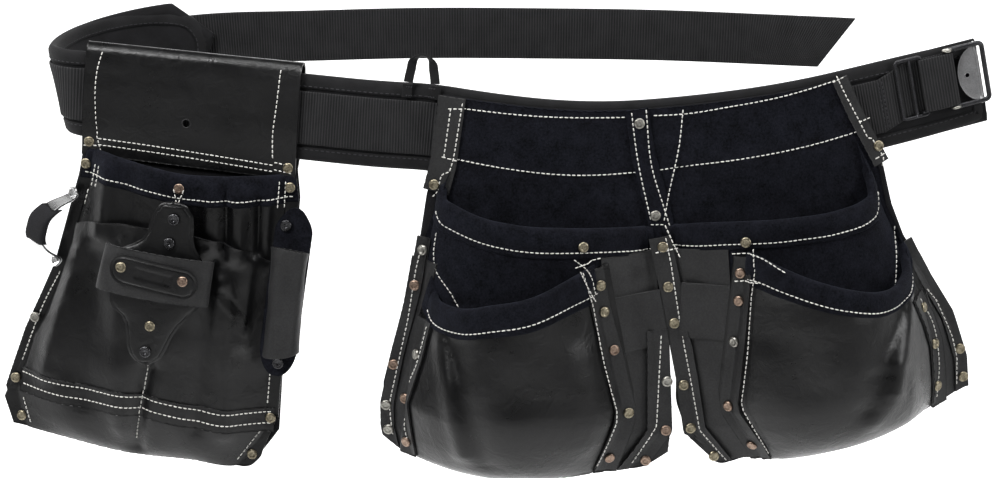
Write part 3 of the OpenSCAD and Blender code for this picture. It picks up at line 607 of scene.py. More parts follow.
def build_stage():
    """The camera stands in front, a little above, and looks slightly down."""
    scene = bpy.context.scene
    camera = bpy.data.objects.new("camera", bpy.data.cameras.new("camera"))
    scene.collection.objects.link(camera)
    camera.location = (-0.139, -2.934, 0.533)
    camera.rotation_euler = (np.radians(78), 0, 0)
    camera.data.lens = 116.6
    camera.data.clip_end = 50
    scene.camera = camera
    scene.view_settings.view_transform = "Standard"
    scene.view_settings.gamma = 0.94

    # The floor runs back, turns up in a quarter circle and ends in a wall, in metres
    floor_z, half_width, near, far, bend, wall = CAD_BOX[0][2] - 0.95, 30.0, -30.0, 9.0, 2.5, 9.0
    profile = [(near, 0.0), (far, 0.0)]
    profile += [(far + bend * np.sin(a), bend - bend * np.cos(a)) for a in np.linspace(0, np.pi / 2, 12)]
    profile += [(far + bend, wall)]
    grid = [[(x, y, floor_z + z) for y, z in profile] for x in (-half_width, half_width)]
    paper = Finish("pale_paper")
    where = paper.add("TexCoord", "Object")
    # It glows softly behind the object and far around it, as a lit backdrop does
    behind = paper.map(paper.add("SeparateXYZ", "Y", Vector=where), 0.1, 1.6, 0.12, 0.95)
    away = paper.add("VectorMath", "Value", operation="LENGTH", Vector=where)
    around = paper.map(away, 5.0, 9.0, 0.12, 0.4)
    mottle = paper.noise(paper.add("TexCoord", "Generated"), 3.0, 3.0)
    paper.fill(paper.shader, Roughness=0.9, Emission_Color=(1, 1, 1, 1),
               Base_Color=paper.ramp(mottle, (0.0, (0.86,) * 3), (1.0, (0.90,) * 3)),
               Emission_Strength=paper.math("MAXIMUM", behind, around))
    floor = mesh_object("floor", np.array(grid) / MM, grid_faces(2, len(profile)), [paper.material])

    world = scene.world or bpy.data.worlds.new("studio")
    scene.world = world
    world.use_nodes = True
    sky = world.node_tree.nodes["Background"]
    sky.inputs["Color"].default_value = (1.0, 1.0, 1.0, 1)
    sky.inputs["Strength"].default_value = 0.1
    # Each lamp's name, place, aim, size in metres, and power in watts
    for name, place_at, aim, size, power in (
            ("key", (-1.9, -1.5, 1.9), (-0.2, 0, -0.1), (1.0, 1.0), 64),
            ("fill", (2.3, -1.1, 0.9), (0, 0, -0.1), (0.7, 1.6), 30),
            ("top", (0.1, -0.5, 2.2), (-0.1, 0, 0), (2.2, 0.6), 40),
            ("rim", (-2.2, 0.6, 1.0), (-0.3, 0, 0), (0.6, 1.6), 22),
            ("back", (0.6, 2.6, 1.6), (0, 0, 0), (2.4, 1.2), 30)):
        lamp = bpy.data.lights.new(name, "AREA")
        lamp.shape = "RECTANGLE"
        lamp.size, lamp.size_y = size
        lamp.energy = power
        holder = bpy.data.objects.new(name, lamp)
        holder.location = place_at
        aim_at = Vector(aim) - Vector(place_at)
        holder.rotation_euler = aim_at.to_track_quat("-Z", "Y").to_euler()
        scene.collection.objects.link(holder)


build_stage()

# ---- the padded belt ----

# Half the pad's height, and how many points run over its face from edge to edge
PAD_HALF, RING_POINTS = 40.0, 27
# The back tip is pointed: its top and bottom edges' t at distance s
TIP_TOP = [(-783, -6), (-746, -40)]
TIP_BOTTOM = [(-783, -2), (-764, 40)]
TIP_FROM = -700


def pad_half_thick(d):
    """Half the pad's thickness at a distance d in from its edge, with the seam's channel."""
    return 2.0 + 2.4 * ease(d / 9) - 0.9 * np.exp(-((d - 12) / 2.2) ** 2)


def swell(piece, still, cap):
    """Lets cloth pressure puff a piece out, its still vertices held, each moving cap at most."""
    start = np.array([v.co for v in piece.data.vertices])
    group = piece.vertex_groups.new(name="still")
    group.add([int(i) for i in np.flatnonzero(still)], 1.0, "REPLACE")
    cloth = piece.modifiers.new("cloth", "CLOTH")
    cloth.settings.effector_weights.gravity = 0
    cloth.settings.use_pressure = True
    cloth.settings.uniform_pressure_force = 4
    cloth.settings.vertex_group_mass = "still"
    cloth.settings.quality = 4
    cloth.settings.tension_stiffness = 12
    cloth.settings.bending_stiffness = 1.5
    for number in range(1, 21):
        bpy.context.scene.frame_set(number)
    baked(piece)
    bpy.context.scene.frame_set(1)
    moved = np.array([v.co for v in piece.data.vertices]) - start
    size = np.linalg.norm(moved, axis=1, keepdims=True)
    moved *= np.minimum(1, cap * MM / (size + 1e-9))
    piece.data.vertices.foreach_set("co", (start + moved).astype(np.float32).ravel())
    piece.data.update()
    return piece


def build_pad(name, s0, s1, holder, cad):
    """A length of pad: foam in nylon cloth. Its inner face swells towards the wearer."""
    s = np.linspace(s0, s1, int((s1 - s0) / 4))[:, None]
    top, bottom = -PAD_HALF + 0 * s, PAD_HALF + 0 * s
    if s0 < TIP_FROM:
        top, bottom = lin(s, TIP_TOP), lin(s, TIP_BOTTOM)
    across = np.linspace(-1, 1, RING_POINTS)
    across = np.sign(across) * (1 - (1 - np.abs(across)) ** 1.35)
    ring = np.r_[across, across[::-1][1:-1]]
    side = np.r_[np.ones(RING_POINTS), -np.ones(RING_POINTS - 2)]
    side[[0, RING_POINTS - 1]] = 0
    half = (bottom - top) / 2
    t = (top + bottom) / 2 + half * ring
    d = half * (1 - np.abs(ring))
    crumple = 0.35 * rumple(s, t, 3, 26)
    n = side * (pad_half_thick(d) + crumple * ease((d - 14) / 10) * (side < 0))
    uvs = np.stack(np.broadcast_arrays(s, t), -1)
    piece = mesh_object(name, place(s, t, n), capped_faces(*t.shape), [CORDURA], uvs=uvs)
    ends = np.zeros(t.shape, bool)
    ends[[0, -1]] = True
    still = ends | (d < 14) | (side > 0)
    swell(piece, still.ravel(), 2.2)
    settle(piece, holder, cad)


for row in (("pad_back_length", PAD_TIP + 1, -430, "back_bend", ("pad_back",)),
            ("pad_side_length", -430, -115, "left_bend", ("pad_left", "pad_mid")),
            ("pad_front_length", -115, 105, "front_bend", ("pad_right",)),
            ("pad_end_length", 105, BELT_END - 1, "end_bend", ("pad_end",))):
    build_pad(*row)

# The tape that binds the pad's edge, folded over it: distance in from the edge, and n
BINDING = [(12.5, 3.9), (12.3, 5.0), (10, 5.05), (6, 4.9), (2.5, 4.2), (0.2, 2.6), (-0.7, 0),
           (0.2, -2.6), (2.5, -4.2), (6, -4.9), (10, -5.05), (12.3, -5.0), (12.5, -3.9)]
# Its two rows of stitches: how far in, and n
BINDING_SEAM = (10.3, 5.0)


def round_corners(line, passes=3):
    line = np.array(line, float)
    for _ in range(passes):
        cut = np.stack([0.75 * line[:-1] + 0.25 * line[1:], 0.25 * line[:-1] + 0.75 * line[1:]], 1)
        line = np.vstack([line[:1], cut.reshape(-1, 2), line[-1:]])
    return line


def build_binding(name, line, holder):
    """The binding tape along one edge line, its corners rounded, and its two rows of stitches."""
    path = dense(round_corners(line), 3.0, False)
    inward = heading(path)[:, ::-1] * [-1, 1]
    profile = np.array(BINDING)
    spots = path[:, None] + profile[None, :, :1] * inward[:, None]
    points = place(spots[..., 0], spots[..., 1], profile[:, 1])
    uvs = np.stack(np.meshgrid(lengths(path), lengths(profile), indexing="ij"), -1)
    faces = grid_faces(*points.shape[:2], flip=True)
    settle(mesh_object(name, points, faces, [TAPE], uvs=uvs), holder)
    inset, n = BINDING_SEAM
    runs = [(place, flat_n(face), path + inset * inward, False) for face in (n, -n)]
    thread_piece = stitches(name + "_thread", runs, BLACK_THREAD, pitch=5.2, gap=1.7, radius=0.5)
    settle(thread_piece, holder)


for row in (("binding_back", [(-430, 40), (-765, 40), (-783, -4), (-748, -40), (-430, -40)], "back_bend"),
            ("binding_side_top", [(-430, -40), (-115, -40)], "left_bend"),
            ("binding_side_bottom", [(-115, 40), (-430, 40)], "left_bend"),
            ("binding_front_top", [(-115, -40), (105, -40)], "front_bend"),
            ("binding_front_bottom", [(105, 40), (-115, 40)], "front_bend"),
            ("binding_end", [(105, -40), (309, -40), (317, -31), (317, 32), (308, 40), (105, 40)],
             "end_bend")):
    build_binding(*row)

# ---- webbing ----

# The webbing's width and thickness, and the n of its inner face
WEB_W, WEB_T, WEB_N = 50.0, 1.6, 5.2
# Across the ribbon and back: share of its width, side of its thickness, and depth of the ribs
RIBBON_EDGE = [(-1, 0, 0), (-0.985, 0.9, 0.3), (-0.93, 1.05, 1), (-0.6, 1, 1), (-0.2, 1, 1),
               (0.2, 1, 1), (0.6, 1, 1), (0.93, 1.05, 1), (0.985, 0.9, 0.3), (1, 0, 0),
               (0.985, -0.9, 0.3), (0.93, -1.05, 1), (0.3, -1, 1), (-0.3, -1, 1),
               (-0.93, -1.05, 1), (-0.985, -0.9, 0.3)]
# How far along a slanted end is drawn out
SLANT_LENGTH = 110


def ribbon(name, far, middle, across, out, width, thick, material, slant=0.0, rib=RIB, relief=0.34):
    """Webbing or tape along a path. far is the distance at each row, middle its points, across
    and out its directions. slant moves the first rows along to cut the end on a slant."""
    share, face, depth = np.array(RIBBON_EDGE).T
    wave = np.cos(2 * np.pi * far / rib)[:, None]
    lift = thick / 2 * face + relief * wave * depth * np.sign(face)
    points = (middle[:, None] + (width / 2 * share)[:, None] * across[:, None]
              + lift[..., None] * out[:, None])
    if slant:
        fade = np.clip(1 - (far - far[0]) / SLANT_LENGTH, 0, 1)[:, None]
        points += (fade * slant * (share + 1) / 2)[..., None] * heading(middle)[:, None]
    uvs = np.stack(np.broadcast_arrays(far[:, None], width / 2 * share + 3 * face), -1)
    return mesh_object(name, points, capped_faces(*lift.shape), [material], uvs=uvs)


def build_webbing(name, s0, s1, holder, cad, slant=0.0):
    """A length of webbing along the belt."""
    s = np.linspace(s0, s1, int((s1 - s0) / RIB * 4) + 1)
    out, up = leaned(s)
    middle = place(s, 0.25 * np.sin(s / 37), WEB_N + WEB_T / 2)
    piece = ribbon(name, s, middle, -up, out, WEB_W, WEB_T, WEBBING, slant)
    settle(piece, holder, cad)


for row in (("strap_free_length", STRAP_END, -1000, "strap_bend_2", ("strap_2",), 34.0),
            ("strap_back_length", -1000, -790, "strap_bend_1", ("strap_1",)),
            ("webbing_back_length", -790, -430, "back_bend", ("webbing_back",)),
            ("webbing_side_length", -430, -115, "left_bend", ("webbing_left", "webbing_mid")),
            ("webbing_front_length", -115, 105, "front_bend", ("webbing_right",)),
            ("webbing_end_start", 105, 216, "end_bend", ())):
    build_webbing(*row)

# ---- the webbing's end, its slider and buckle ----

# The buckle's bar, which the webbing folds round, and how the webbing climbs to it: its t at s
FOLD_N, BUCKLE_T = WEB_N + WEB_T + 2.9, -10.0
RISE = [(200, 0), (216, 0), (246, BUCKLE_T), (335, BUCKLE_T)]


def build_webbing_end():
    """Out under the slider, round the buckle's bar and back to the slider's middle bar."""
    turn = FOLD_N - WEB_N - WEB_T / 2
    low = WEB_N + WEB_T / 2
    path = [(s, low) for s in (216, 226, 236, 258, 272, 280)]
    path += [(BUCKLE_S + turn * np.cos(a), FOLD_N + turn * np.sin(a))
             for a in np.radians(range(-90, 91, 20))]
    path += [(278, FOLD_N + turn), (266, FOLD_N + turn - 0.8), (256, FOLD_N + turn - 1.6)]
    s, n = dense(path, RIB / 4, True).T
    middle = place(s, lin(s, RISE), n)
    up = leaned(s)[1]
    out = -unit(np.cross(up, heading(middle)))
    far = np.arange(len(s)) * RIB / 4
    piece = ribbon("webbing_buckle_loop", far, middle, -up, out, WEB_W, WEB_T, WEBBING)
    settle(piece, "belt_end", ("webbing_end",))
    seam = [(place, flat_n(WEB_N + WEB_T + 0.1), [(216.5 + k, -23 - 0.1 * k), (216.5 + k, 22)], False)
            for k in (0, 3.5)]
    settle(stitches("webbing_seam", seam, BLACK_THREAD, pitch=4.0), "belt_end")


def local_frame(s, t, n):
    """Maps x along, y out and z up, in millimetres, from a point of the belt."""
    s = np.array(float(s))
    out, up = leaned(s)
    origin, ahead = place(s, t, n), along(s)

    def at(*xyz):
        x, y, z = (np.asarray(v)[..., None] for v in xyz)
        return origin + x * ahead + y * out + z * up
    return at


def rounded_loop(width, height, radius, steps=7):
    """A rectangle with round corners, as x and z."""
    spots = []
    for k, (cx, cz) in enumerate(((1, 1), (-1, 1), (-1, -1), (1, -1))):
        for a in np.linspace(k * np.pi / 2, (k + 1) * np.pi / 2, steps):
            spots.append((cx * (width / 2 - radius) + radius * np.cos(a),
                          cz * (height / 2 - radius) + radius * np.sin(a)))
    return np.array(spots).T


def wire(name, body, at, x, y, z, radius, material=GUNMETAL, cad=(), **shape):
    """A bar or ring of the buckle or slider, through points of a local frame."""
    x, y, z = np.broadcast_arrays(x, y, z)
    settle(tube(name, at(x, y, z), radius, material, **shape), body, cad)


def build_slider():
    """The slider's wire frame, its middle bar and the lug beside it."""
    at = local_frame(SLIDER_S, BUCKLE_T, WEB_N + WEB_T + 2.0)
    x, z = rounded_loop(25, 55, 3)
    wire("slider_frame", "slider", at, x, 0, z, 1.5, cad=("slider",), closed=True)
    wire("slider_middle_bar", "slider", at, 1, 0.4, np.linspace(-27.5, 27.5, 12), 1.5)
    wire("slider_lug", "slider", at, np.linspace(6, 12.5, 4), 0.8, -24.5, 1.5)


def build_buckle():
    """The wire frame on its ears, the pin, and the hinged half oval plate."""
    at = local_frame(BUCKLE_S, BUCKLE_T, FOLD_N)
    x, z = rounded_loop(34, 54, 4)
    wire("buckle_wire", "buckle", at, x + 17, 0, z, 2.3, cad=("buckle_frame",), closed=True)
    ear_shape, quads = lathe_points([(0.01, 1.5), (3.6, 1.5), (4.8, 0.9), (5.0, 0), (4.8, -0.9),
                                     (3.6, -1.5), (0.01, -1.5)])
    for name, z in (("upper", 27.0), ("lower", -27.0)):
        ear = mesh_object("buckle_ear_" + name, at(*(ear_shape + [0, 0, z]).T), quads, [NICKEL])
        settle(ear, "buckle")
    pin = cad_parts["buckle_pin"].data
    pin.materials.clear()
    pin.materials.append(BRIGHT)
    pin.polygons.foreach_set("material_index", np.zeros(len(pin.polygons), np.int32))

    angle = np.linspace(np.pi / 2, 3 * np.pi / 2, 34)[:, None]
    share = np.linspace(0, 1, 26)[None, :]
    x = 26 + 19 * np.cos(angle) * share - 1.0 * (1 - share)
    z = 25.2 * np.sin(angle) * share
    dome = 0.3 + 1.4 * np.sqrt(np.clip(1 - share**3, 0, 1)) + 0 * angle
    hole_x, hole_radius = 15.0, 2.4
    plate = sheet("buckle_plate_shell", at(x, dome - 0.6, z), leaned(np.array(float(BUCKLE_S)))[0],
                  1.2, PLATE, edge=0, hole=((hole_x, 0.0), hole_radius - 0.1, x, z))
    settle(plate, "buckle_plate", ("buckle_plate",))
    turn = np.linspace(0, 2 * np.pi, 28, endpoint=False)
    wire("buckle_plate_hole", "buckle_plate", at, hole_x + hole_radius * np.cos(turn), 2.1,
         hole_radius * np.sin(turn), 0.45, PLATE, closed=True, sides=8)
    wire("buckle_plate_barrel", "buckle_plate", at, 26, 0, np.linspace(-25, 25, 9), 2.3, PLATE, sides=20)


def build_brace_loop():
    """A loop of tape: up, over and down, its flat side turning outward at the top."""
    at = local_frame(BRACE_S, -41, 7.7)
    a = np.linspace(-0.61, np.pi + 0.61, 120)
    rise = np.clip(np.sin(a), 0, 1)
    splay = np.clip(-np.sin(a), 0, 1)
    x = (10.2 + 5 * splay) * np.cos(a) / np.sqrt(1 - 0.8 * splay**2) + 1.0
    z = 15 + 12.5 * rise - 24 * splay
    middle = at(x, 1.2 + 2.4 * rise, z)
    ahead = heading(middle)
    outward = leaned(np.array(float(BRACE_S)))[0]
    fold = 1.25 * ease(rise)[:, None]
    across = np.cos(fold) * np.cross(ahead, outward) + np.sin(fold) * outward
    out = np.cross(ahead, across)
    loop = ribbon("brace_loop_tape", lengths(middle), middle, across, out, 8.6, 1.5, TAPE, rib=2.0,
                  relief=0.08)
    settle(loop, "brace_loop", ("brace_loop",))
    z = np.linspace(-0.9, -13, 14)
    for name, side in (("left", -1), ("right", 1)):
        middle = at(side * (13.0 - 0.05 * z) + 1.0, 0 * z + 0.4, z)
        foot = ribbon("brace_foot_" + name, -z, middle, along(np.full(len(z), float(BRACE_S))),
                      np.repeat(outward[None], len(z), 0), 8.8, 1.5, TAPE, rib=2.0, relief=0.08)
        settle(foot, "belt_mid", ("brace_loop_feet",))
    runs = [(place, flat_n(9.0), [(BRACE_S + side * 9.5 - 3, t), (BRACE_S + side * 9.5 + 3, t)], False)
            for side in (-1, 1) for t in (-38, -30)]
    settle(stitches("brace_foot_thread", runs, BLACK_THREAD, pitch=2.4, gap=0.5), "belt_mid")


build_webbing_end()
build_slider()
build_buckle()
build_brace_loop()

# ---- the nail bags ----

LEATHER_T = 2.0
# The inner faces of the bags' backs and of their pocket fronts, and the t of their top edges
FACE_N = WEB_N + WEB_T + 0.4
TAB_N = FACE_N + 2 * LEATHER_T + 0.4
BAG_TOP = -34.0
# The grid that reliefs are kept on, and the steepest squared slope that a thickness follows
GRID_STEP = 1.25
GRID_S = np.arange(-235, 275, GRID_STEP)
GRID_T = np.arange(25, 350, GRID_STEP)
STEEPEST = 7.0


class Relief:
    """How far a surface stands out over s and t, kept on a grid and read between its points."""

    def __init__(self, rows):
        self.rows = rows

    def __call__(self, s, t):
        x = np.clip((np.asarray(s, float) - GRID_S[0]) / GRID_STEP, 0, len(GRID_S) - 1.001)
        y = np.clip((np.asarray(t, float) - GRID_T[0]) / GRID_STEP, 0, len(GRID_T) - 1.001)
        x, y = np.broadcast_arrays(x, y)
        i, j = x.astype(int), y.astype(int)
        x, y = x - i, y - j
        near = self.rows[i, j] * (1 - y) + self.rows[i, j + 1] * y
        far = self.rows[i + 1, j] * (1 - y) + self.rows[i + 1, j + 1] * y
        return near * (1 - x) + far * x

    def raised(self, thick):
        """The surface a thickness further out, measured square to this one."""
        across, down = np.gradient(self.rows, GRID_STEP)
        steep = np.minimum(across**2 + down**2, STEEPEST)
        return Relief(self.rows + thick * np.sqrt(1 + steep))


class Pocket:
    """A pocket's front: its outline, and how far it stands off behind a flat sewn margin.

    out and inn give the outer and inner edges' s at t; mouth and hem give t at s. side is -1
    where the outer edge comes first in s. curl pulls the mouth's outer corner in and up, where
    the rim runs back to the bag. bottom is where the outer edge ends.
    """

    def __init__(self, out, inn, mouth, hem, side, depth, base, margins, curl, folds, seed,
                 space=hang, bottom=302):
        self.out, self.inn, self.mouth, self.hem = out, inn, mouth, hem
        self.side, self.margins, self.curl, self.seed = side, margins, curl, seed
        self.space, self.top, self.height = space, out[0][0], bottom - out[0][0]
        s, t = GRID_S[:, None], GRID_T[None, :]
        stand = self.stand(s, t)
        lively = ridges(s, t, folds) + 0.5 * rumple(s, t, seed)
        self.inner = Relief(base(s, t) + depth * stand + ease(stand * 2.2) * lively)
        self.outer = self.inner.raised(LEATHER_T)

    def stand(self, s, t):
        """The share of its depth that it stands off: full in the middle, none at its edges."""
        s0, s1 = lin(t, self.out), lin(t, self.inn)
        wide = np.abs(s1 - s0)
        share = (s - s0) / (s1 - s0)
        inside = (share - self.margins[0] / wide) / (1 - sum(self.margins) / wide)
        over = np.sin(np.pi * np.clip(inside, 0, 1)) ** 0.75
        t0, t1 = curve(s, self.mouth), curve(s, self.hem)
        v = np.clip((t - t0) / (t1 - t0), 0, 1)
        full = 0.58
        down = np.where(v < full, 1, np.sqrt(np.clip(1 - ((v - full) / (1 - full)) ** 2, 0, 1)))
        return over * down

    def spot(self, a, b):
        """s, t and n at shares a from the outer edge and b down from the mouth."""
        a, b = np.broadcast_arrays(np.asarray(a, float), np.asarray(b, float))
        t_flat = self.top + self.height * b
        s = lin(t_flat, self.out) * (1 - a) + lin(t_flat, self.inn) * a
        t0, t1 = curve(s, self.mouth), curve(s, self.hem)
        t = t0 + (t1 - t0) * b
        n = self.inner(s, t)
        near = np.clip(1 - a / 0.11, 0, 1) ** 1.6 * np.exp(-(t - t0) / 38)
        return s - self.side * self.curl[0] * near, t - self.curl[1] * near, n

    def points(self, a, b):
        return self.space(*self.spot(a, b))

    def rim_seam(self, a0, a1, lift):
        """The seam that holds the folded rim, as a run of stitches."""
        s, t, _ = self.spot(np.linspace(a0, a1, 60), STITCH_DOWN / self.height)
        return self.space, self.inner.raised(lift), np.stack([s, t], -1), False


def build_front(name, pocket, holder, cad, outer, inner):
    """A pocket's front, in the materials of its two faces."""
    points = pocket.points(np.linspace(0, 1, 130)[None, :], np.linspace(0, 1, 110)[:, None])
    piece = sheet(name, points, FRONT, LEATHER_T, outer, inner)
    settle(piece, holder, (cad,))


# A folded rim's section: distance down from the mouth, and out from the front's inner face
RIM = [(15, -1.6), (9, -2.0), (4, -2.9), (0, -3.0), (-2.6, -1.7), (-3.6, 0.6), (-3.2, 3.2), (-1.2, 5.0),
       (3, 5.7), (8, 5.5), (13, 4.8), (17, 4.0), (19.5, 3.3), (21.5, 3.5), (24.6, 3.6), (25.4, 2.9),
       (25.2, 2.05), (12, 2.05), (1, 2.1), (-0.8, 1.0), (1, -0.1), (13, -0.2)]
# Where its seam runs down from the mouth, and where its outer layer begins
STITCH_DOWN, RIM_FACE = 19.5, 2.05


def build_rim(name, pocket, holder, cad, a1=1.0):
    """A suede rim folded over a pocket's mouth, from its outer edge to share a1."""
    loop = np.array(RIM + RIM[:1])
    far = lengths(loop)
    x = np.linspace(0, far[-1], 61)[:-1]
    down, out = (np.interp(x, far, loop[:, k]) for k in (0, 1))
    share = np.linspace(0, a1, 150)
    a, b = np.meshgrid(share, np.clip(down, 0, None) / pocket.height, indexing="ij")
    here = pocket.points(a, b)
    fall = unit(pocket.points(a, b + 2.0 / pocket.height) - here)
    beside = pocket.points(np.clip(a + 0.004, 0, 1), b) - pocket.points(np.clip(a - 0.004, 0, 1), b)
    normal = facing(unit(np.cross(fall, beside)), FRONT)
    over = np.clip(-down, 0, None)[:, None]
    soft = 1 + 0.10 * rumple(share * 200, 0, pocket.seed + 5, 30)[:, None]
    ends = np.minimum(ease(share / 0.02), ease((a1 - share) / 0.02))[:, None]
    lift = np.where(out > RIM_FACE, RIM_FACE + (out - RIM_FACE) * soft * (0.45 + 0.55 * ends), out)
    points = here - over * fall + lift[..., None] * normal
    piece = mesh_object(name, points, capped_faces(*points.shape[:2], flip=False), [SUEDE])
    settle(piece, holder, (cad,))


def build_panel(name, edges, bottom, n, holder, cad, materials, top=BAG_TOP, wave=0.5,
                space=hang, seed=2):
    """A flat panel between two edge tables of s at t, down to a bottom table of t at s."""
    a, b = np.linspace(0, 1, 70)[None, :], np.linspace(0, 1, 90)[:, None]
    t = top + (max(row[1] for row in bottom) - top) * b
    s = lin(t, edges[0]) * (1 - a) + lin(t, edges[1]) * a
    t = np.minimum(t, lin(s, bottom))
    points = space(s, t, n + wave * 0.5 * rumple(s, t, seed, 60))
    piece = sheet(name, points, FRONT, LEATHER_T, *materials)
    settle(piece, holder, (cad,))


# The outer face of each pocket and strip that something lies on
TOPS = {}


def build_strip(name, path, width, base, holder, cad=(), material=LEATHER_DULL, thick=1.8, lift=0.3,
                space=hang, level=False, hem=None):
    """A leather strip. path gives its middle's s and t, base the surface that it lies on.

    Where the surface falls away beside its middle, the strip bridges half of the fall. A level
    strip runs along s and the others down t, to a hem where there is one. Its own outer face
    is kept in TOPS.
    """
    if level:
        middle = base(GRID_S, lin(GRID_S, np.array(path)))[:, None]
    else:
        middle = base(lin(GRID_T, np.array(path)[:, ::-1]), GRID_T)[None, :]
    here = base(GRID_S[:, None], GRID_T[None, :])
    under = Relief(np.maximum(here, 0.5 * (here + middle))).raised(lift)
    TOPS[name] = under.raised(thick)
    line = dense(path, 2.0, level)
    side = heading(line)[:, ::-1] * [1, -1]
    across = np.linspace(-0.5, 0.5, 13)
    spots = line[:, None] + width * across[None, :, None] * side[:, None]
    if hem is not None:
        order = np.arange(len(line))
        for column in range(len(across)):
            strand = spots[:, column].copy()
            past = strand[:, 1] - lin(strand[:, 0], hem) + 1.0
            if past.max() > 0:
                last = np.argmax(past > 0)
                end = last - past[last] / (past[last] - past[last - 1])
                stops = np.linspace(0, end, len(order))
                spots[:, column] = np.stack([np.interp(stops, order, strand[:, k]) for k in (0, 1)], -1)
    s, t = spots[..., 0], spots[..., 1]
    points = space(s, t, under(s, t) - 0.2 * (2 * np.abs(across)) ** 4)
    settle(sheet(name, points, FRONT, thick, material), holder, cad)


# The pockets' outlines, each row t and s for an edge, s and t for a mouth or a hem
LEFT_OUT = [[60, -199], [102, -200], [150, -204], [211, -212], [251, -216], [285, -213], [298, -206]]
LEFT_IN = [[-34, -11], [40, -5.5], [84, -1], [187, 0], [270, 0], [303, -19]]
LEFT_MOUTH = [[-202, 62], [-190, 61], [-176, 64], [-149, 70], [-117, 72], [-71, 72], [-31, 75], [-1, 80]]
LEFT_HEM = [[-213, 292], [-196, 303], [-172, 309], [-114, 317], [-42, 306], [-17, 303], [0, 288]]
LEFT_LOW_OUT = [[140, -187], [206, -191], [254, -197], [302, -187]]
LEFT_LOW_IN = [[105, -46], [140, -41], [188, -33], [240, -25], [252, -25], [302, -40]]
LEFT_LOW_MOUTH = [[-192, 140], [-184, 147], [-173, 152], [-150, 151], [-124, 140], [-96, 129],
                  [-69, 114], [-44, 103]]
LEFT_LOW_HEM = [[-197, 297], [-172, 306], [-114, 314], [-66, 309], [-25, 300]]
RIGHT_OUT = [[50, 206], [92, 209], [124, 215], [166, 232], [216, 248], [250, 252], [278, 248]]
RIGHT_IN = [[-34, -5], [40, 3.5], [84, 7], [176, 9], [218, 9], [268, 11], [304, 33]]
RIGHT_MOUTH = [[8, 80], [35, 76], [68, 75], [108, 77], [150, 80], [178, 79], [196, 73], [207, 64]]
RIGHT_HEM = [[11, 274], [34, 306], [57, 303], [73, 306], [120, 307], [176, 299], [246, 281]]
RIGHT_LOW_OUT = [[120, 217], [150, 221], [180, 224], [225, 226], [275, 223]]
RIGHT_LOW_IN = [[97, 65], [141, 57], [186, 49], [240, 40], [252, 40], [300, 60]]
RIGHT_LOW_MOUTH = [[58, 103], [75, 104], [92, 114], [114, 128], [139, 142], [166, 154], [189, 155],
                   [207, 146], [219, 130]]
RIGHT_LOW_HEM = [[40, 296], [73, 304], [120, 305], [176, 296], [226, 278]]

# Each pocket's folds are rows of s0, t0, s1, t1, width and height
LEFT_UPPER = Pocket(
    LEFT_OUT, LEFT_IN, LEFT_MOUTH, LEFT_HEM, -1, 42, flat_n(TAB_N), (10, 10), (19, 24),
    [(-150, 95, -120, 150, 16, -2), (-90, 90, -80, 140, 18, 1.5)], 11)
LEFT_LOWER = Pocket(
    LEFT_LOW_OUT, LEFT_LOW_IN, LEFT_LOW_MOUTH, LEFT_LOW_HEM, -1, 37, LEFT_UPPER.outer.raised(1.6),
    (11, 9), (8, 12),
    [(-163, 185, -136, 285, 7, 4.5), (-150, 185, -118, 290, 11, -4.5), (-70, 140, -78, 220, 22, -4),
     (-60, 190, -50, 270, 16, 2.5), (-105, 250, -95, 300, 16, 2)], 12)
RIGHT_UPPER = Pocket(
    RIGHT_OUT, RIGHT_IN, RIGHT_MOUTH, RIGHT_HEM, 1, 42, flat_n(TAB_N), (9, 10), (19, 34),
    [(120, 95, 110, 150, 18, -2), (170, 100, 175, 150, 14, 2)], 13)
RIGHT_LOWER = Pocket(
    RIGHT_LOW_OUT, RIGHT_LOW_IN, RIGHT_LOW_MOUTH, RIGHT_LOW_HEM, 1, 37, RIGHT_UPPER.outer.raised(1.6),
    (12, 9), (8, 14),
    [(199, 174, 178, 211, 8.5, 3.6), (172, 223, 165, 247, 8, 4.8), (157, 259, 146, 272, 9, 3.5),
     (183, 174, 162, 209, 14, -3.4), (154, 229, 146, 256, 13, -5.5), (92, 150, 100, 230, 20, -4),
     (70, 200, 66, 270, 14, 2), (202, 215, 200, 255, 11, -2.5)], 14)
TOPS.update(left_upper=LEFT_UPPER.outer, left_lower=LEFT_LOWER.outer,
            right_upper=RIGHT_UPPER.outer, right_lower=RIGHT_LOWER.outer)


def build_bag_panels():
    """Each bag's back of leather, and the suede on its face above the pockets."""
    for side, holder, out, inn, hem, top_out, face_out, web in (
            ("left", "belt_mid", LEFT_OUT, LEFT_IN, LEFT_HEM,
             [[BAG_TOP, -196], [-4, -197], [40, -196]],
             [[BAG_TOP, -176], [0, -178], [54, -190], [190, -190]], "webbing_side_length"),
            ("right", "belt_right", RIGHT_OUT, RIGHT_IN, RIGHT_HEM,
             [[BAG_TOP, 184], [-4, 196], [40, 207]],
             [[BAG_TOP, 180], [0, 190], [54, 202], [190, 205]], "webbing_front_length")):
        # Above the pockets the back has its own outline, below that it has theirs
        back_out = top_out + [row for row in out if row[0] > 55]
        build_panel(side + "_bag_panel", (back_out, inn), [(s, t - 1.5) for s, t in hem], FACE_N, holder,
                    side + "_bag_back", (FLESH, LEATHER_DULL))
        build_panel(side + "_bag_suede", (face_out, inn), [(-300, 190), (300, 190)],
                    FACE_N + LEATHER_T + 0.2, holder, side + "_bag_face", (SUEDE, SUEDE),
                    top=BAG_TOP + 1, wave=0.9, seed=4)


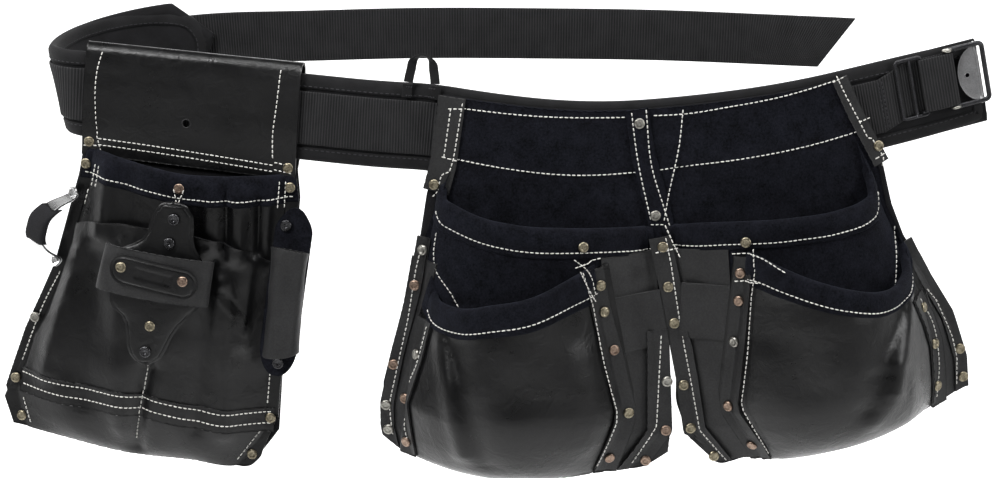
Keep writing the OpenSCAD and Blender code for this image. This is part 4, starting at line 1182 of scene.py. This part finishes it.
build_bag_panels()
for name, pocket, holder, outer, slot, rests_on in (
        ("left_upper", LEFT_UPPER, "belt_mid", SUEDE, "suede", "left_bag_panel"),
        ("right_upper", RIGHT_UPPER, "belt_right", SUEDE, "suede", "right_bag_panel"),
        ("left_lower", LEFT_LOWER, "belt_mid", LEATHER, "smooth_leather", "left_upper_front"),
        ("right_lower", RIGHT_LOWER, "belt_right", LEATHER, "smooth_leather", "right_upper_front")):
    build_front(name + "_front", pocket, holder, name + "_pocket", outer, SUEDE)
for name, pocket, holder, a1 in (
        ("left_upper", LEFT_UPPER, "belt_mid", 1.0), ("right_upper", RIGHT_UPPER, "belt_right", 1.0),
        ("left_lower", LEFT_LOWER, "belt_mid", 0.93), ("right_lower", RIGHT_LOWER, "belt_right", 0.93)):
    build_rim(name + "_fold", pocket, holder, name + "_rim", a1)

# The riveted strips between and beside the pockets: name, what it lies on and how far above it,
# the CAD node it stands for, its width, thickness and gap, and its middle line
STRIPS = [
    ("left_centre_panel", "left_upper", 0, "", 42, 1.2, 0.2,
     [(-25, 97), (-23, 180), (-20, 250), (-27, 310)]),
    ("right_centre_panel", "right_upper", 0, "", 46, 1.2, 0.2,
     [(34, 97), (32, 180), (28, 240), (44, 312)]),
    ("left_square_patch", "left_centre_panel", 0, "left_patch", 40, 1.2, 0.3, [(-22, 135), (-17, 187)]),
    ("right_square_patch", "right_centre_panel", 0, "right_patch", 42, 1.2, 0.3,
     [(38, 130), (32, 182)]),
    ("left_centre_binding", "left_centre_panel", 1.8, "left_centre_strip", 16, 1.8, 0.3,
     [(-5, 171), (-6, 200), (-8, 268), (-30, 310)]),
    ("right_centre_binding", "right_centre_panel", 1.8, "right_centre_strip", 18, 1.8, 0.3,
     [(1, 84), (4, 106), (8, 140), (11, 176), (15, 218), (18, 270), (42, 314)]),
    ("left_inner_binding", "left_lower", 0, "left_inner_strip", 13.5, 1.8, 0.3,
     [(-51.5, 106), (-47, 140), (-38, 188), (-30, 242), (-31, 254), (-43, 300), (-46, 316)]),
    ("right_inner_binding", "right_lower", 0, "right_inner_strip", 14, 1.8, 0.3,
     [(68, 104), (62.5, 141), (55.5, 186), (46.5, 242), (47.5, 253), (64, 290), (72, 314)]),
    ("left_side_panel", "left_upper", 0, "", 26, 1.0, 0.1,
     [(-191, 120), (-193, 165), (-198, 211), (-200, 262), (-195, 306)]),
    ("right_side_panel", "right_upper", 0, "", 28, 1.0, 0.1,
     [(214, 158), (218, 172), (229, 205), (234, 250), (229, 300)]),
    ("left_outer_binding", "left_side_panel", 0, "left_side_strips", 13, 1.8, 0.3,
     [(-195, 100), (-197, 150), (-205, 211), (-209, 262), (-206, 284), (-198, 306)]),
    ("left_side_binding", "left_lower", 0, "", 14, 1.8, 0.3,
     [(-181, 172), (-184, 206), (-191, 254), (-181, 300), (-180, 312)]),
    ("right_outer_binding", "right_side_panel", 0, "right_side_strips", 13, 1.8, 0.3,
     [(214, 128), (225, 166), (240, 205), (246, 250), (242, 292)]),
    ("right_side_binding", "right_lower", 0, "", 15, 1.8, 0.3,
     [(208, 174), (216, 200), (220, 225), (216, 296)])]


def build_strips():
    """Each strip is cut off at its bag's hem and rides with its bag."""
    for name, ground, above, cad, width, thick, lift, path in STRIPS:
        holder, hem = ("belt_mid", LEFT_HEM) if name.startswith("left") else ("belt_right", RIGHT_HEM)
        if name == "right_centre_binding":
            holder = "front_bend"  # it joins the two bags
        base = TOPS[ground].raised(above) if above else TOPS[ground]
        build_strip(name, path, width, base, holder, (cad,) if cad else (), LEATHER_DULL, thick, lift,
                    hem=hem)


def build_tabs():
    """The tabs at the bags' ends and the strap down their middle."""
    on_face = flat_n(FACE_N + 2 * LEATHER_T + 0.6)
    for name, path, width, holder, cad, material, slot in (
            ("left_tab", [(-187, -33), (-187, 30), (-190, 56)], 24, "belt_mid", "left_end_tab",
             LEATHER_DULL, "smooth_leather"),
            ("right_tab", [(180, -36), (189, 0), (198, 28), (205, 50)], 14, "belt_right",
             "right_end_tab", LEATHER_DULL, "smooth_leather"),
            ("centre_tab", [(-12, -34), (-8, 8), (2, 60), (6, 98)], 21, "front_bend", "centre_strap",
             SUEDE, "suede")):
        build_strip(name, path, width, on_face, holder, (cad,), material)


build_strips()
build_tabs()

# ---- the seams and rivets of the nail bags ----

# Seams of each bag, lines in s and t, by what they lie on
LEFT_SEAMS = {
    "face": [[(-187, -24), (-136, -25), (-48, -27), (-3, -27)],
             [(-186, 23), (-130, 26), (-71, 27), (-5, 24)]],
    "tab": [[(-187, -24), (-187, 24)], [(-177, -30), (-178, 24), (-180, 36)], [(-190, -22), (-176, -24)],
            [(-190, 23), (-174, 25)], [(-180, 36), (-187, 40), (-188, 50)], [(-186, 52), (-193, 62)]],
    "upper": [[(-183, 92), (-182, 115), (-179, 125), (-162, 144), (-152, 158)],
              [(-197, 112), (-199, 134), (-200, 179), (-205, 240), (-207, 263), (-200, 292)]],
    "centre": [[(-3, 176), (-6, 211), (-10, 263), (-27, 299)]],
    "lower": [[(-178, 176), (-182, 216), (-190, 252), (-180, 296)],
              [(-60, 106), (-52, 140), (-44, 195), (-36, 240), (-36, 252), (-49, 298)],
              [(-67, 92), (-57, 104), (-50, 130)], [(-66, 100), (-46, 96)],
              [(-62, 104), (-57, 118), (-50, 136)]]}
RIGHT_SEAMS = {
    "face": [[(3, -27), (30, -26), (77, -28), (123, -30), (177, -35)],
             [(5, 24), (19, 23), (79, 22), (140, 20), (198, 16)]],
    "tab": [[(177, -40), (183, -18), (190, 4), (196, 24)], [(172, -34), (184, -37)],
            [(190, 8), (202, 6)], [(196, 24), (200, 26), (208, 46), (205, 54)], [(199, 46), (210, 42)]],
    "upper": [[(207, 112), (199, 140), (190, 164)],
              [(224, 176), (232, 190), (241, 229), (242, 248), (238, 276)]],
    "centre": [[(6, 84), (9, 111), (13, 169), (18, 221), (22, 270), (42, 304)],
               [(6, 72), (12, 90), (17, 104)], [(-4, 98), (16, 95)]],
    "lower": [[(211, 178), (220, 202), (221, 240), (214, 280)],
              [(76, 108), (70, 141), (64, 186), (55, 240), (56, 249), (74, 297)],
              [(58, 100), (76, 101), (96, 116)], [(58, 126), (76, 126)], [(75, 94), (74, 112)]]}
STRAP_SEAMS = [[(-17, -32), (-14, 7), (-5, 70)], [(-3, -34), (-1, 22), (6, 55), (12, 82)],
               [(31, -31), (25, 1), (12, 47), (6, 72)], [(-6, 74), (6, 75)]]

# Rivets, each at s and t, and 0, 1 or 2 for brass, nickel or copper
LEFT_LOW_RIVETS = [(-46.5, 122, 0), (-44, 147, 0), (-37, 184, 2), (-28, 246, 0), (-41, 290, 2),
                   (-183, 206, 1), (-192, 251, 2), (-182, 293, 2)]
LEFT_UP_RIVETS = [(-195, 112, 1), (-198, 146, 2), (-208, 224, 2), (-210, 264, 1), (-205, 287, 1)]
LEFT_CENTRE_RIVETS = [(-1, 221, 1), (-4, 268, 2), (-18, 297, 2)]
RIGHT_LOW_RIVETS = [(64, 119, 2), (61, 145, 2), (55, 184, 1), (46, 246, 2), (62, 287, 2),
                    (213, 188, 0), (219, 226, 0), (216, 268, 0)]
RIGHT_UP_RIVETS = [(247, 242, 0), (246, 270, 0)]
RIGHT_CENTRE_RIVETS = [(3, 93, 0), (5, 131, 0), (8, 166, 0), (12, 226, 0), (15, 268, 0), (32, 298, 0)]

# How far above what it lies on the thread of a seam runs, and above a pocket the caps on its rim
THREAD_LIFT, RIM_CAP = 0.25, 4.8


def build_bag_details():
    on_face = flat_n(FACE_N + 2 * LEATHER_T + 0.4)
    on_tab = flat_n(FACE_N + 2 * LEATHER_T + 2.6)
    for side, holder, upper, lower, seams in (
            ("left", "belt_mid", LEFT_UPPER, LEFT_LOWER, LEFT_SEAMS),
            ("right", "belt_right", RIGHT_UPPER, RIGHT_LOWER, RIGHT_SEAMS)):
        runs = [(hang, on_face, line, True) for line in seams["face"]]
        runs += [(hang, on_tab, line, False) for line in seams["tab"]]
        upper_tops = [upper.outer, TOPS[side + "_outer_binding"]]
        lower_tops = [TOPS[side + "_side_binding"], TOPS[side + "_inner_binding"]]
        lower_tops += [lower.inner.raised(5.6)] * 3
        runs += [(hang, top.raised(THREAD_LIFT), line, top is upper.outer)
                 for top, line in zip(upper_tops, seams["upper"])]
        runs += [(hang, top.raised(THREAD_LIFT), line, k != 1)
                 for k, (top, line) in enumerate(zip(lower_tops, seams["lower"]))]
        runs += [upper.rim_seam(0.03, 0.985, 3.85), lower.rim_seam(0.035, 0.93, 3.85)]
        settle(stitches(side + "_bag_thread", runs), holder)
    left_middle, right_middle = TOPS["left_centre_binding"], TOPS["right_centre_binding"]
    runs = [(hang, left_middle.raised(THREAD_LIFT), line, False) for line in LEFT_SEAMS["centre"]]
    settle(stitches("left_centre_thread", runs), "belt_mid")
    runs = [(hang, right_middle.raised(THREAD_LIFT), line, k != 0)
            for k, line in enumerate(RIGHT_SEAMS["centre"])]
    runs += [(hang, on_tab, line, True) for line in STRAP_SEAMS]
    settle(stitches("centre_thread", runs), "front_bend")

    on_rim = (LEFT_UPPER.inner.raised(RIM_CAP), RIGHT_UPPER.inner.raised(RIM_CAP))
    for name, holder, cad, grounds in (
            ("left_bag_caps", "belt_mid", ("left_bag_rivets",), (
                (TOPS["left_inner_binding"], LEFT_LOW_RIVETS[:5]),
                (TOPS["left_side_binding"], LEFT_LOW_RIVETS[5:]),
                (TOPS["left_outer_binding"], LEFT_UP_RIVETS), (left_middle, LEFT_CENTRE_RIVETS),
                (on_rim[0], [(-60, 86, 0)]), (on_tab, [(-193, 50, 0)]))),
            ("right_bag_caps", "belt_right", ("right_bag_rivets",), (
                (TOPS["right_inner_binding"], RIGHT_LOW_RIVETS[:5]),
                (TOPS["right_side_binding"], RIGHT_LOW_RIVETS[5:]),
                (TOPS["right_outer_binding"], RIGHT_UP_RIVETS), (on_rim[1], [(71, 91, 0)]),
                (on_tab, [(205, 34, 0)]))),
            ("centre_caps", "front_bend", (), (
                (right_middle, RIGHT_CENTRE_RIVETS), (on_tab, [(-10, -21, 1), (-1, 66, 1)])))):
        groups = [(hang, surface, places) for surface, places in grounds]
        settle(caps(name, groups, RIVET_METALS), holder, cad)


build_bag_details()

# ---- the pouch ----

POUCH_OUT = [[50, -103], [75, -106], [164, -126], [229, -151], [290, -168], [326, -158]]
POUCH_IN = [[50, 104], [76, 108], [251, 101], [302, 101], [340, 76]]
POUCH_HEM = [[-160, 324], [-113, 329], [-37, 337], [19, 337], [60, 340], [80, 336], [100, 302]]
POUCH_MOUTH = [[-110, 54], [-84, 53], [-66, 55], [-29, 59], [0, 62], [26, 62], [63, 60], [105, 57]]
OUTER_MOUTH = [[-120, 130], [-101, 121], [-87, 116], [-59, 112], [-24, 111], [26, 114], [48, 119],
               [71, 128], [106, 148]]
FRONT_FOLDS = [(-74, 66, -72, 125, 9, 5.5), (-50, 66, -50, 120, 10, -3), (30, 70, 33, 120, 8, 3.5),
               (43, 72, 46, 125, 5, -4), (56, 74, 58, 130, 8, 6), (71, 80, 72, 130, 5, -4.5),
               (84, 84, 86, 140, 6, 4)]
OUTER_FOLDS = [(-104, 150, -122, 262, 13, 6), (-76, 148, -84, 282, 17, -6), (-46, 190, -42, 305, 13, 5),
               (50, 160, 56, 305, 11, 6), (33, 140, 28, 300, 10, -5), (74, 134, 68, 215, 9, 5),
               (90, 150, 86, 300, 8, -5), (-18, 246, -31, 326, 9, -8), (-100, 285, -90, 320, 22, 3),
               (20, 290, 30, 325, 22, 3.5), (42, 168, 58, 187, 1.8, 0.8), (48, 164, 64, 183, 1.8, -0.7)]
POUCH_FRONT = Pocket(
    POUCH_OUT, POUCH_IN, POUCH_MOUTH, POUCH_HEM, -1, 30, flat_n(6), (14, 14), (4, 2), FRONT_FOLDS, 21,
    flat, 326)
POUCH_OUTER = Pocket(
    POUCH_OUT, POUCH_IN, OUTER_MOUTH, POUCH_HEM, -1, 12, POUCH_FRONT.outer.raised(1.6), (13, 13), (0, 0),
    OUTER_FOLDS, 22, flat, 326)
# The tunnel's outer face, from its front hem up over the belt and down behind: t and n
TUNNEL = [(57, 9.8), (50, 9.9), (42, 10.4), (20, 11.4), (-20, 11.6), (-38, 11), (-45, 9.2),
          (-48.5, 5), (-49, 0), (-47.5, -5), (-43, -7.8), (-20, -8.6), (20, -8.6), (38, -7.9), (46, -3),
          (50, 2.5), (57, 4.6)]
TUNNEL_FRONT_ROWS = 7
# The round hole in its front: u and t
TUNNEL_HOLE = (-3.0, 16.0)


def tunnel_front(s, t):
    return lin(t, sorted(TUNNEL[:TUNNEL_FRONT_ROWS]))


def build_tunnel():
    """A leather sleeve round the belt, sewn shut below it, with a round hole in its front."""
    path = dense(TUNNEL, 1.6, True)
    u = np.linspace(-103, 103, 125)[None, :]
    t, n = path[:, :1], path[:, 1:]
    skirt = 0.5 * rumple(u, t, 31, 70)
    sway = np.where(t > 44, 0.016 * (u + 10), 0)
    points = flat(u, t + sway, n - LEATHER_T * np.sign(n) + skirt)
    front = np.arange(len(path))[:, None] < len(path) * 0.4
    hole = (TUNNEL_HOLE, 3.8, u + 0 * t, np.where(front, t + 0 * u, 999.0))
    piece = sheet("tunnel_sleeve", points, points - flat(u, 0, 0), LEATHER_T, LEATHER, FLESH, hole=hole)
    settle(piece, "left_pouch", ("pouch_tunnel",))
    turn = np.linspace(0, 2 * np.pi, 32, endpoint=False)
    rim = flat(TUNNEL_HOLE[0] + 4.1 * np.cos(turn), TUNNEL_HOLE[1] + 4.1 * np.sin(turn), 11.3)
    settle(tube("tunnel_hole_edge", rim, 0.75, LEATHER_DULL, True, 8), "left_pouch")


def build_pouch():
    """The pouch's back, its two pockets, the rim of the inner one and the band along the hem."""
    build_panel("pouch_back_panel", (POUCH_OUT, POUCH_IN), [(u, t + 1) for u, t in POUCH_HEM], 3.0,
                "left_pouch", "pouch_back", (FLESH, LEATHER_DULL),
                top=50, space=flat, seed=5)
    for name, pocket, cad, rests_on in (
            ("pouch_front_panel", POUCH_FRONT, "pouch_front", "pouch_back_panel"),
            ("pouch_outer_panel", POUCH_OUTER, "pouch_outer_pocket", "pouch_front_panel")):
        build_front(name, pocket, "left_pouch", cad, LEATHER, FLESH)
    build_rim("pouch_fold", POUCH_FRONT, "left_pouch", "pouch_rim")
    band = [(-150, 279), (-91, 282), (-25, 282), (6, 286), (43, 291), (97, 291)]
    build_strip("pouch_hem_band", band, 22, POUCH_OUTER.outer, "left_pouch", ("pouch_bottom_band",),
                LEATHER, 1.6, 0.4, flat, level=True)


build_tunnel()
build_pouch()

# The holder's waisted plate: u of its two edges at t
PLATE_TOP, PLATE_FOOT = 83, 237
PLATE_LEFT = [(83, 0), (83.6, -6), (86, -11), (94, -17), (104, -20), (112, -22), (120, -27),
              (126, -36), (131, -49), (137, -54), (180, -54), (186, -51), (192, -42), (200, -38),
              (212, -36), (222, -35), (229, -32), (234, -27), (236.6, -21), (237, -17)]
PLATE_RIGHT = [(83, 2), (83.6, 8), (86, 14), (94, 20), (104, 21), (115, 21), (124, 24), (133, 31),
               (140, 34), (178, 31), (186, 23), (198, 13), (206, 8), (212, 5), (222, 1), (229, -3),
               (234, -9), (236.6, -14), (237, -16)]


def plate_n(t):
    return 58.8 + 0.02 * (t - PLATE_TOP)


def band_n(a):
    """How far out the cross band stands at share a of its length: it bows over the plate."""
    return plate_n(180) + 2.5 + 13 * np.clip(np.sin(np.pi * a), 0, 1) ** 0.5


def pressed(d, inset, width, depth):
    """A border line pressed into leather, where d is the distance from its edge."""
    return -depth * np.exp(-((d - inset) / width) ** 2)


def turned_flat(u, t, degrees, x, y, n):
    """Points about u and t of the pouch's plane, from x and y turned by an angle."""
    c, k = np.cos(np.radians(degrees)), np.sin(np.radians(degrees))
    return flat(u + c * x - k * y, t + k * x + c * y, n)


def build_holder():
    """The waisted plate, its cross band and the oblong badge, the plate and the badge each with a pressed
    border line.
    """
    share = 0.5 - 0.5 * np.cos(np.pi * np.linspace(0, 1, 90)[:, None])
    t = PLATE_TOP + (PLATE_FOOT - PLATE_TOP) * share
    a = np.linspace(0, 1, 60)[None, :]
    left, right = lin(t, PLATE_LEFT), lin(t, PLATE_RIGHT)
    u = left + (right - left) * a
    d = np.minimum(np.minimum(u - left, right - u), np.minimum(t - PLATE_TOP, PLATE_FOOT - t) + 1)
    n = plate_n(t) + pressed(d, 3.2, 0.8, 0.5) - 2.2 * (2 * a - 1) ** 4 + 1.2 * np.sin(t / 23)
    piece = sheet("holder_plate_leather", flat(u, t, n), FRONT, LEATHER_T, LEATHER)
    settle(piece, "left_pouch", ("holder_plate",))

    a = (0.5 - 0.5 * np.cos(np.pi * np.linspace(0, 1, 80)))[None, :]
    b = np.linspace(0, 1, 24)[:, None]
    u = -58 + 100 * a - 8 * b * (1 - a) - 4 * b * a
    t = 125 + 7 * a + 43 * b
    n = band_n(a) - 1.0 * (2 * b - 1) ** 2 + 0.4 * rumple(u, t, 41, 30)
    piece = sheet("holder_band_leather", flat(u, t, n), FRONT, LEATHER_T, LEATHER_DULL)
    settle(piece, "left_pouch", ("holder_band",))

    # The badge is an oblong with half round ends, flat for a length, its middle sunk
    round_end, straight = 14, 28
    y = round_end * np.sin(np.linspace(-np.pi / 2, np.pi / 2, 40))[:, None]
    x = (straight + np.sqrt((round_end + 0.001) ** 2 - y**2)) * np.linspace(-1, 1, 84)[None, :]
    d = round_end - np.hypot(np.clip(np.abs(x) - straight, 0, None), y)
    sunk = ease((19 - np.abs(x)) / 2.5) * ease((6.5 - np.abs(y)) / 2.5)
    n = band_n(0.5) + 2.2 + pressed(d, 2.6, 0.75, 0.55) - 0.5 * sunk - 2.2 * (x / 42) ** 2
    piece = sheet("holder_badge_leather", turned_flat(-9, 149, 8, x, y, n), FRONT, LEATHER_T, LEATHER)
    settle(piece, "left_pouch", ("holder_badge",))


# The hammer loop's steel strap: how far it stands off at t
BRIDGE = [(86, 0), (97, 0.2), (103, 14), (111, 24.5), (124, 28), (138, 24.5), (147, 14), (154, 0.2),
          (165, 0)]
BRIDGE_TOP, BRIDGE_FOOT = BRIDGE[0][0], BRIDGE[-1][0]


def bridge(t, w, lift):
    """A point of the hammer loop at height t, w across it and lift above its strap."""
    d = curve(t, BRIDGE) + lift
    return flat(-107 - 0.2 * (t - 88) - 0.7 * d + 0.7 * w, t, 18 + 0.7 * d + 0.7 * w)


def squared(x, power):
    """A sine or cosine made blunter, so that a circle becomes a rounded oblong."""
    return np.sign(x) * np.abs(x) ** power


def build_hammer_loop():
    """The steel strap, round at its riveted ends, and the leather sleeve on its middle."""
    t = np.linspace(BRIDGE_TOP, BRIDGE_FOOT, 70)[:, None]
    end = np.minimum(t - BRIDGE_TOP, BRIDGE_FOOT - t)
    end_width = 8.5
    corner = 1 - np.sqrt(np.clip(1 - (1 - np.clip(end / end_width, 0, 1)) ** 2, 0, 1))
    half = end_width + 3.5 * ease((end - 8) / 14) - end_width * corner
    w = np.clip(half, 0.3, None) * np.linspace(-1, 1, 14)[None, :]
    steel = sheet("hammer_strap", bridge(t, w, 0), np.array([-0.7, -0.7, 0]), 1.8, BRIGHT)
    settle(steel, "left_pouch", ("hammer_loop",))
    turn = np.linspace(0, 2 * np.pi, 49)[None, :-1]
    w = 17.5 * squared(np.cos(turn), 0.35)
    out = 3.4 * squared(np.sin(turn), 0.7)
    t = np.linspace(104.5, 138, 24)[:, None] + 1.2 * np.sin(w / 5)
    sleeve = double_wall("hammer_leather", bridge(t, w, 1.0 + out), bridge(t, w * 0.9, 1 + out * 0.45),
                         FLESH, flip=True)
    settle(sleeve, "left_pouch", ("hammer_sleeve",))


# The pencil tube's middle, top, distance out and radius
TUBE_U, TUBE_TOP, TUBE_N, TUBE_R = 108, 116, 51.9, 17.0


def build_pencil_tube():
    """A rolled leather tube with a slanted top, snapped to a pointed suede tongue."""
    turn = np.linspace(0, 2 * np.pi, 73)[None, :-1]
    share = np.linspace(0, 1, 60)[:, None]
    t = TUBE_TOP + 99 * share + (1 - share) * (1.5 * np.cos(turn) - 3.4 * np.sin(turn))
    t = t + share * 3.0 * np.cos(turn - 2.6)
    wave = 0.35 * rumple(turn * 17, t, 51, 30) + 0.8 * np.exp(-share * 30)
    radius = TUBE_R - 0.9 * np.sin(np.pi * share) + wave
    shell, lining = (
        flat(TUBE_U + 4 - 3.0 * share + r * np.cos(turn), t, TUBE_N + 0.93 * r * np.sin(turn))
        for r in (radius, radius - LEATHER_T))
    tube_piece = rounded(double_wall("pencil_leather", shell, lining, LEATHER_DULL), 0.4, 3)
    settle(tube_piece, "left_pouch", ("pencil_tube",))
    # The tongue narrows to a rounded point above and ends in a half circle below
    y = 81 * (-np.cos(np.pi * np.linspace(0, 1, 70)))[:, None]
    top = 17.5 * np.clip(1 - np.clip((-y - 58) / 23, 0, 1) ** 1.7 * 0.75, 0, 1)
    low = 17.5 * np.sqrt(np.clip(1 - np.clip((y - 52) / 29.5, 0, 1) ** 2, 0, 1))
    half = np.where(y < 0, top, low) * (1 - np.clip((-y - 77) / 4, 0, 1) ** 3 * 0.6)
    x = np.clip(half, 0.4, None) * np.linspace(-1, 1, 26)[None, :]
    bow = 1.2 * np.cos(y / 30) - 1.5 * (x / 17) ** 2
    tongue = sheet("pencil_suede", turned_flat(106, 161, 4, x, y, 32 + bow), FRONT, LEATHER_T, SUEDE)
    settle(tongue, "left_pouch", ("pencil_tongue",))


# Seams of the pouch, lines in u and t, by what they lie on
POUCH_SEAMS = {
    "tunnel": [[(-87, -44), (-91, -26), (-91, 12), (-88, 36)], [(84, -44), (82, -10), (80, 18), (81, 41)],
               [(-88, 39), (-30, 41), (30, 44), (82, 47)], [(-88, 45), (-30, 47), (30, 50), (82, 53)],
               [(-102, 47), (-88, 46)], [(82, 44), (100, 46)], [(82, 51), (100, 53)],
               [(-89, 36), (-84, 52)]],
    "front": [[(-95, 88), (-98, 104)], [(90, 60), (90, 86)], [(95, 60), (95, 86)],
              [(-87, 62), (-90, 84)], [(-82, 62), (-85, 84)], [(-4, 72), (0, 87)], [(6, 72), (1, 87)]],
    "outer": [[(-118, 170), (-132, 201), (-152, 262)], [(91, 236), (90, 276)], [(-18, 240), (-22, 268)]],
    "low": [[(-148, 296), (-140, 322)], [(88, 298), (64, 334)], [(-26, 292), (-31, 320)]],
    "band": [[(-22, 267), (-26, 292)],
             [(-150, 271), (-91, 274), (-25, 274), (6, 278), (43, 284), (95, 283)],
             [(-148, 282), (-91, 285), (-25, 285), (6, 289), (43, 295), (95, 294)]]}


def build_pouch_details():
    on_front, on_outer = (pocket.outer.raised(THREAD_LIFT) for pocket in (POUCH_FRONT, POUCH_OUTER))
    on_rim = POUCH_FRONT.inner.raised(5.6)
    on_band = TOPS["pouch_hem_band"].raised(0.2)
    runs = [POUCH_FRONT.rim_seam(0.02, 0.98, 3.9)]
    runs += [(flat, lambda s, t: tunnel_front(s, t) + 0.3, line, True) for line in POUCH_SEAMS["tunnel"]]
    runs += [(flat, on_front if k == 0 else on_rim, line, True)
             for k, line in enumerate(POUCH_SEAMS["front"])]
    runs += [(flat, on_outer, line, True) for line in POUCH_SEAMS["outer"] + POUCH_SEAMS["low"]]
    runs += [(flat, on_band, line, True) for line in POUCH_SEAMS["band"]]
    settle(stitches("pouch_thread", runs), "left_pouch")
    groups = [
        (flat, tunnel_front, [(-96, 43, 0), (96, 48, 0)]),
        (flat, POUCH_FRONT.inner.raised(RIM_CAP), [(1, 72, 2), (-98, 64, 0), (99, 66, 0)]),
        (flat, POUCH_OUTER.outer, [(-141, 218, 1), (-150, 316, 0), (78, 327, 0)]),
        (flat, POUCH_OUTER.outer.raised(1.8), [(-157, 279, 0), (94, 289, 0)]),
        (flat, flat_n(band_n(0.5) + 3.2), [(-40, 143, 0), (19, 150, 2)]),
        (flat, lambda s, t: plate_n(t) + 2.4, [(-14, 200, 0)])]
    settle(caps("pouch_caps", groups, RIVET_METALS), "left_pouch", ("pouch_rivets",))
    shape, quads = lathe_points(CAP)
    x, z = np.array([0.78, -0.62, 0.0]), np.array([-0.62, -0.78, 0.0])
    turned_cap = shape @ np.array([x, np.cross(z, x), z])
    for name, t in (("hammer_cap_a", 92.0), ("hammer_cap_b", 159.0)):
        cap = mesh_object(name, bridge(t, 0, 1.8) + turned_cap, quads, [BRIGHT])
        settle(cap, "left_pouch")
    snaps = [(flat, lambda s, t: plate_n(t) + 2.6, [(3, 97), (0, 120), (-17, 225)]),
             (flat, flat_n(35.0), [(103, 97), (103, 229)])]
    settle(caps("snap_caps", snaps, [SNAP], SNAP_CAP), "left_pouch", ("pouch_snaps",))


def bag_back_lines(seams):
    return [seams["upper"][1], seams["centre"][0]] + seams["lower"][:2]


def build_back_details():
    """The seams and the rivets' washers where they come through at the back."""
    pouch_lines = POUCH_SEAMS["outer"][:2] + POUCH_SEAMS["band"] + POUCH_SEAMS["low"]
    pouch_spots = [(-141, 218), (-150, 316), (78, 327), (-157, 279), (94, 289), (-98, 66), (99, 68),
                   (-14, 200), (-40, 143), (19, 150)]
    left_rivets = LEFT_LOW_RIVETS + LEFT_UP_RIVETS + LEFT_CENTRE_RIVETS
    right_rivets = RIGHT_LOW_RIVETS + RIGHT_UP_RIVETS + RIGHT_CENTRE_RIVETS
    for name, holder, space, back, lines, spots in (
            ("left", "belt_mid", hang, FACE_N, bag_back_lines(LEFT_SEAMS), left_rivets),
            ("right", "belt_right", hang, FACE_N, bag_back_lines(RIGHT_SEAMS), right_rivets),
            ("pouch", "left_pouch", flat, 3.0, pouch_lines, pouch_spots)):
        surface = flat_n(-back + 0.1)
        runs = [(flipped(space), surface, line, space is flat) for line in lines]
        settle(stitches(name + "_back_thread", runs), holder)
        washers = [(flipped(space), surface, [spot[:2] for spot in spots])]
        settle(caps(name + "_back_washers", washers, [NICKEL], BURR), holder)


build_back_details()
build_holder()
build_hammer_loop()
build_pencil_tube()
build_pouch_details()
